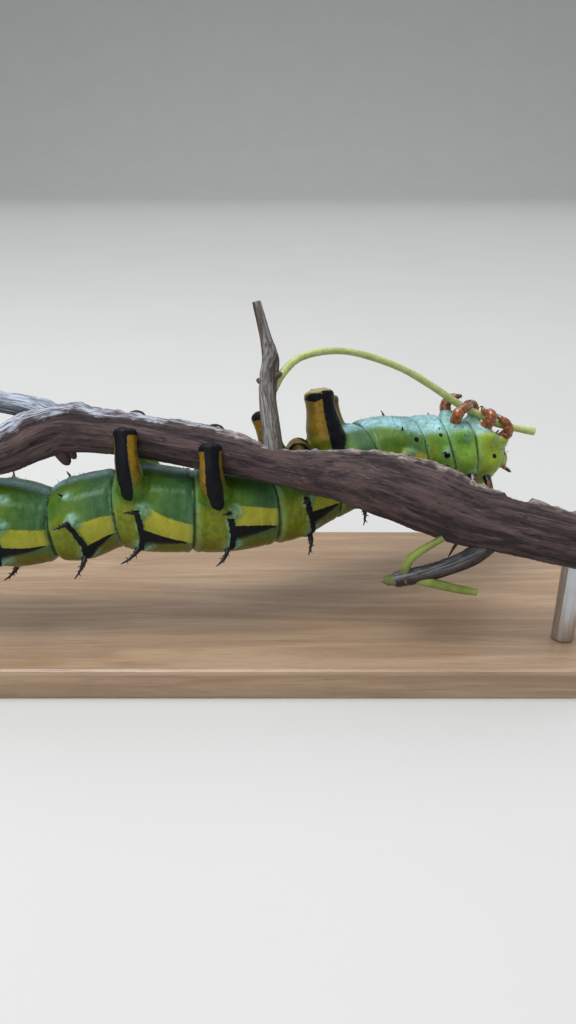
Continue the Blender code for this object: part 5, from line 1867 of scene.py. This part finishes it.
def twig_scars():
    """The raised leaf scars and buds of the upright twig."""
    route = Route(TWIG)
    radii = np.array([point[3] for point in TWIG])
    forms = []
    for along, turn, wide, high in SCARS:
        spot = np.array([along * MM])
        across, upward = route.sides(spot)
        side = math.cos(math.radians(turn)) * across[0] + math.sin(math.radians(turn)) * upward[0]
        radius = float(np.interp(along * MM, route.knots, radii)) * MM
        root = route.place(spot)[0] + 0.75 * radius * side
        forms.append(scar_form(root, route.heading(spot)[0], side, wide * MM, high * MM))
    return forms


def hanging_flakes():
    """Torn bark under the branch."""
    down, along = np.array((0.1, -0.1, -1.0)), np.array((1.0, 0.0, 0.1))
    return [
        scar_form(np.array(place) * MM, along, down, wide * MM, high * MM)
        for place, wide, high in FLAKES
    ]


def make_perch():
    """The cut branch with its fork, twigs, buds and leaf stalk."""
    # The fifth value of each bark finish is the painted light colour of its top crest, and the last is how
    # much of it shows.
    brown = bark_finish(
        "bark_brown", (0.03, 0.02, 0.024), (0.098, 0.063, 0.06), (0.17, 0.122, 0.112),
        (0.42, 0.37, 0.34), 0.85
    )
    pale = bark_finish(
        "bark_pale", (0.05, 0.05, 0.06), (0.2, 0.22, 0.26), (0.4, 0.45, 0.52), (0.5, 0.56, 0.68), 0.9
    )
    grey = bark_finish(
        "bark_grey", (0.04, 0.032, 0.028), (0.13, 0.105, 0.085), (0.3, 0.28, 0.25), (0.34, 0.36, 0.36), 0.6
    )
    side_bark = bark_finish(
        "bark_side", (0.028, 0.02, 0.018), (0.075, 0.052, 0.045), (0.16, 0.13, 0.12), (0.2, 0.22, 0.25), 0.7
    )
    branch = Wood(BRANCH, swell=bark_swell, seed=3.0, is_branch=True).form(112, 640)
    piece(gathered([branch, *hanging_flakes()]), "perch_branch_bark", brown, ("perch_branch",))
    fork = Wood(FORK, 0.8, seed=8.0).form(48, 180)
    piece(fork, "perch_fork_bark", pale, ("perch_fork",))
    twig = Wood(TWIG, 0.35, seed=11.0).form(48, 200)
    piece(gathered([twig, *twig_scars()]), "perch_twig_bark", grey, ("perch_twig",))
    stalk = Wood(PETIOLE, 0.15, cut_ends=(False, True), seed=14.0).form(28, 300)
    yellow_green = stalk_finish("stalk_green", (0.36, 0.44, 0.13), (0.5, 0.56, 0.22))
    piece(stalk, "perch_petiole_stalk", yellow_green, ("perch_petiole",))
    side_wood = Wood(SIDE_TWIG[:5], 0.5, cut_ends=(False, False), seed=17.0).form(40, 120)
    piece(side_wood, "perch_side_twig_bark", side_bark, ("perch_side_twig",))
    stubs = [Wood(stub, 0.2, cut_ends=(False, True), seed=20.0).form(24, 70) for stub in STUBS]
    fresh_green = stalk_finish("stub_green", (0.1, 0.135, 0.015), (0.2, 0.27, 0.04))
    piece(gathered(stubs), "perch_green_stubs", fresh_green)
    piece(bud_form(BUD, 5, 0.4), "perch_end_bud", bud_finish())


def dress_stand(nodes):
    """The finishes of the base and rods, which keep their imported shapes."""
    wood, steel = base_finish(), rod_finish()
    for name, finish in (("stand_base", wood), ("stand_rod_left", steel), ("stand_rod_right", steel)):
        nodes[name].data.materials.clear()
        nodes[name].data.materials.append(finish)


def make_floor():
    """A wide pale floor that curves up far behind, as in a studio."""
    form = bmesh.new()
    bmesh.ops.create_grid(form, x_segments=2, y_segments=60, size=1.0)
    for vert in form.verts:
        x, y = 3.0 * vert.co.x, 1.5 + 3.0 * vert.co.y
        rise = max(0.0, y - 2.6)
        vert.co = (x, y, -0.0002 + 0.45 * rise * rise)
    mesh = bpy.data.meshes.new("studio_floor")
    form.to_mesh(mesh)
    form.free()
    floor = bpy.data.objects.new("studio_floor", mesh)
    bpy.context.scene.collection.objects.link(floor)
    mesh.shade_smooth()
    finish = Finish("floor_pale", 0.85)
    mottle = finish.noise(9.0, 3.0, 0.5)
    finish.set("Base Color", finish.mix(mottle, (0.52, 0.515, 0.5), (0.56, 0.555, 0.54)))
    mesh.materials.append(finish.material)


def area_light(name, place, aim, size, power, colour):
    """A soft square light."""
    light = bpy.data.lights.new(name, "AREA")
    light.size = size
    light.energy = power
    light.color = colour
    lamp = bpy.data.objects.new(name, light)
    lamp.location = place
    lamp.rotation_euler = (Vector(aim) - Vector(place)).to_track_quat("-Z", "Y").to_euler()
    bpy.context.scene.collection.objects.link(lamp)


def make_studio():
    """Camera, lights and a pale world."""
    camera = bpy.data.cameras.new("camera")
    camera.lens = CAMERA_LENS
    camera.sensor_width = 36.0
    camera.clip_start = 0.005
    view = bpy.data.objects.new("camera", camera)
    view.location = CAMERA_PLACE
    view.rotation_euler = (math.radians(90.0 - CAMERA_PITCH), 0.0, 0.0)
    bpy.context.scene.collection.objects.link(view)
    bpy.context.scene.camera = view
    area_light("sky_light", (0.0, 0.9, 2.2), (0.0, 0.6, 0.0), 2.6, 38.0, (0.96, 0.98, 1.0))
    area_light("key_light", (-0.2, -0.1, 0.7), (0.0, 0.0, 0.03), 0.4, 3.6, (0.96, 0.98, 1.0))
    area_light("front_light", (-0.35, -0.6, 0.35), (0.0, 0.0, 0.03), 0.5, 1.2, (1.0, 0.98, 0.95))
    bpy.context.scene.view_settings.view_transform = "Standard"
    world = bpy.data.worlds.new("studio")
    bpy.context.scene.world = world
    world.use_nodes = True
    world.node_tree.nodes["Background"].inputs["Color"].default_value = (0.9, 0.93, 0.96, 1.0)
    world.node_tree.nodes["Background"].inputs["Strength"].default_value = 0.44


def main():
    """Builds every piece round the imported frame."""
    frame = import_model()
    make_groups()
    make_studio()
    make_floor()
    skin = make_skin()
    skin.data.materials.append(skin_finish())
    make_spines()
    make_hooks()
    make_horns()
    make_legs()
    make_head()
    make_perch()
    dress_stand(frame["nodes"])
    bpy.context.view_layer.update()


main()
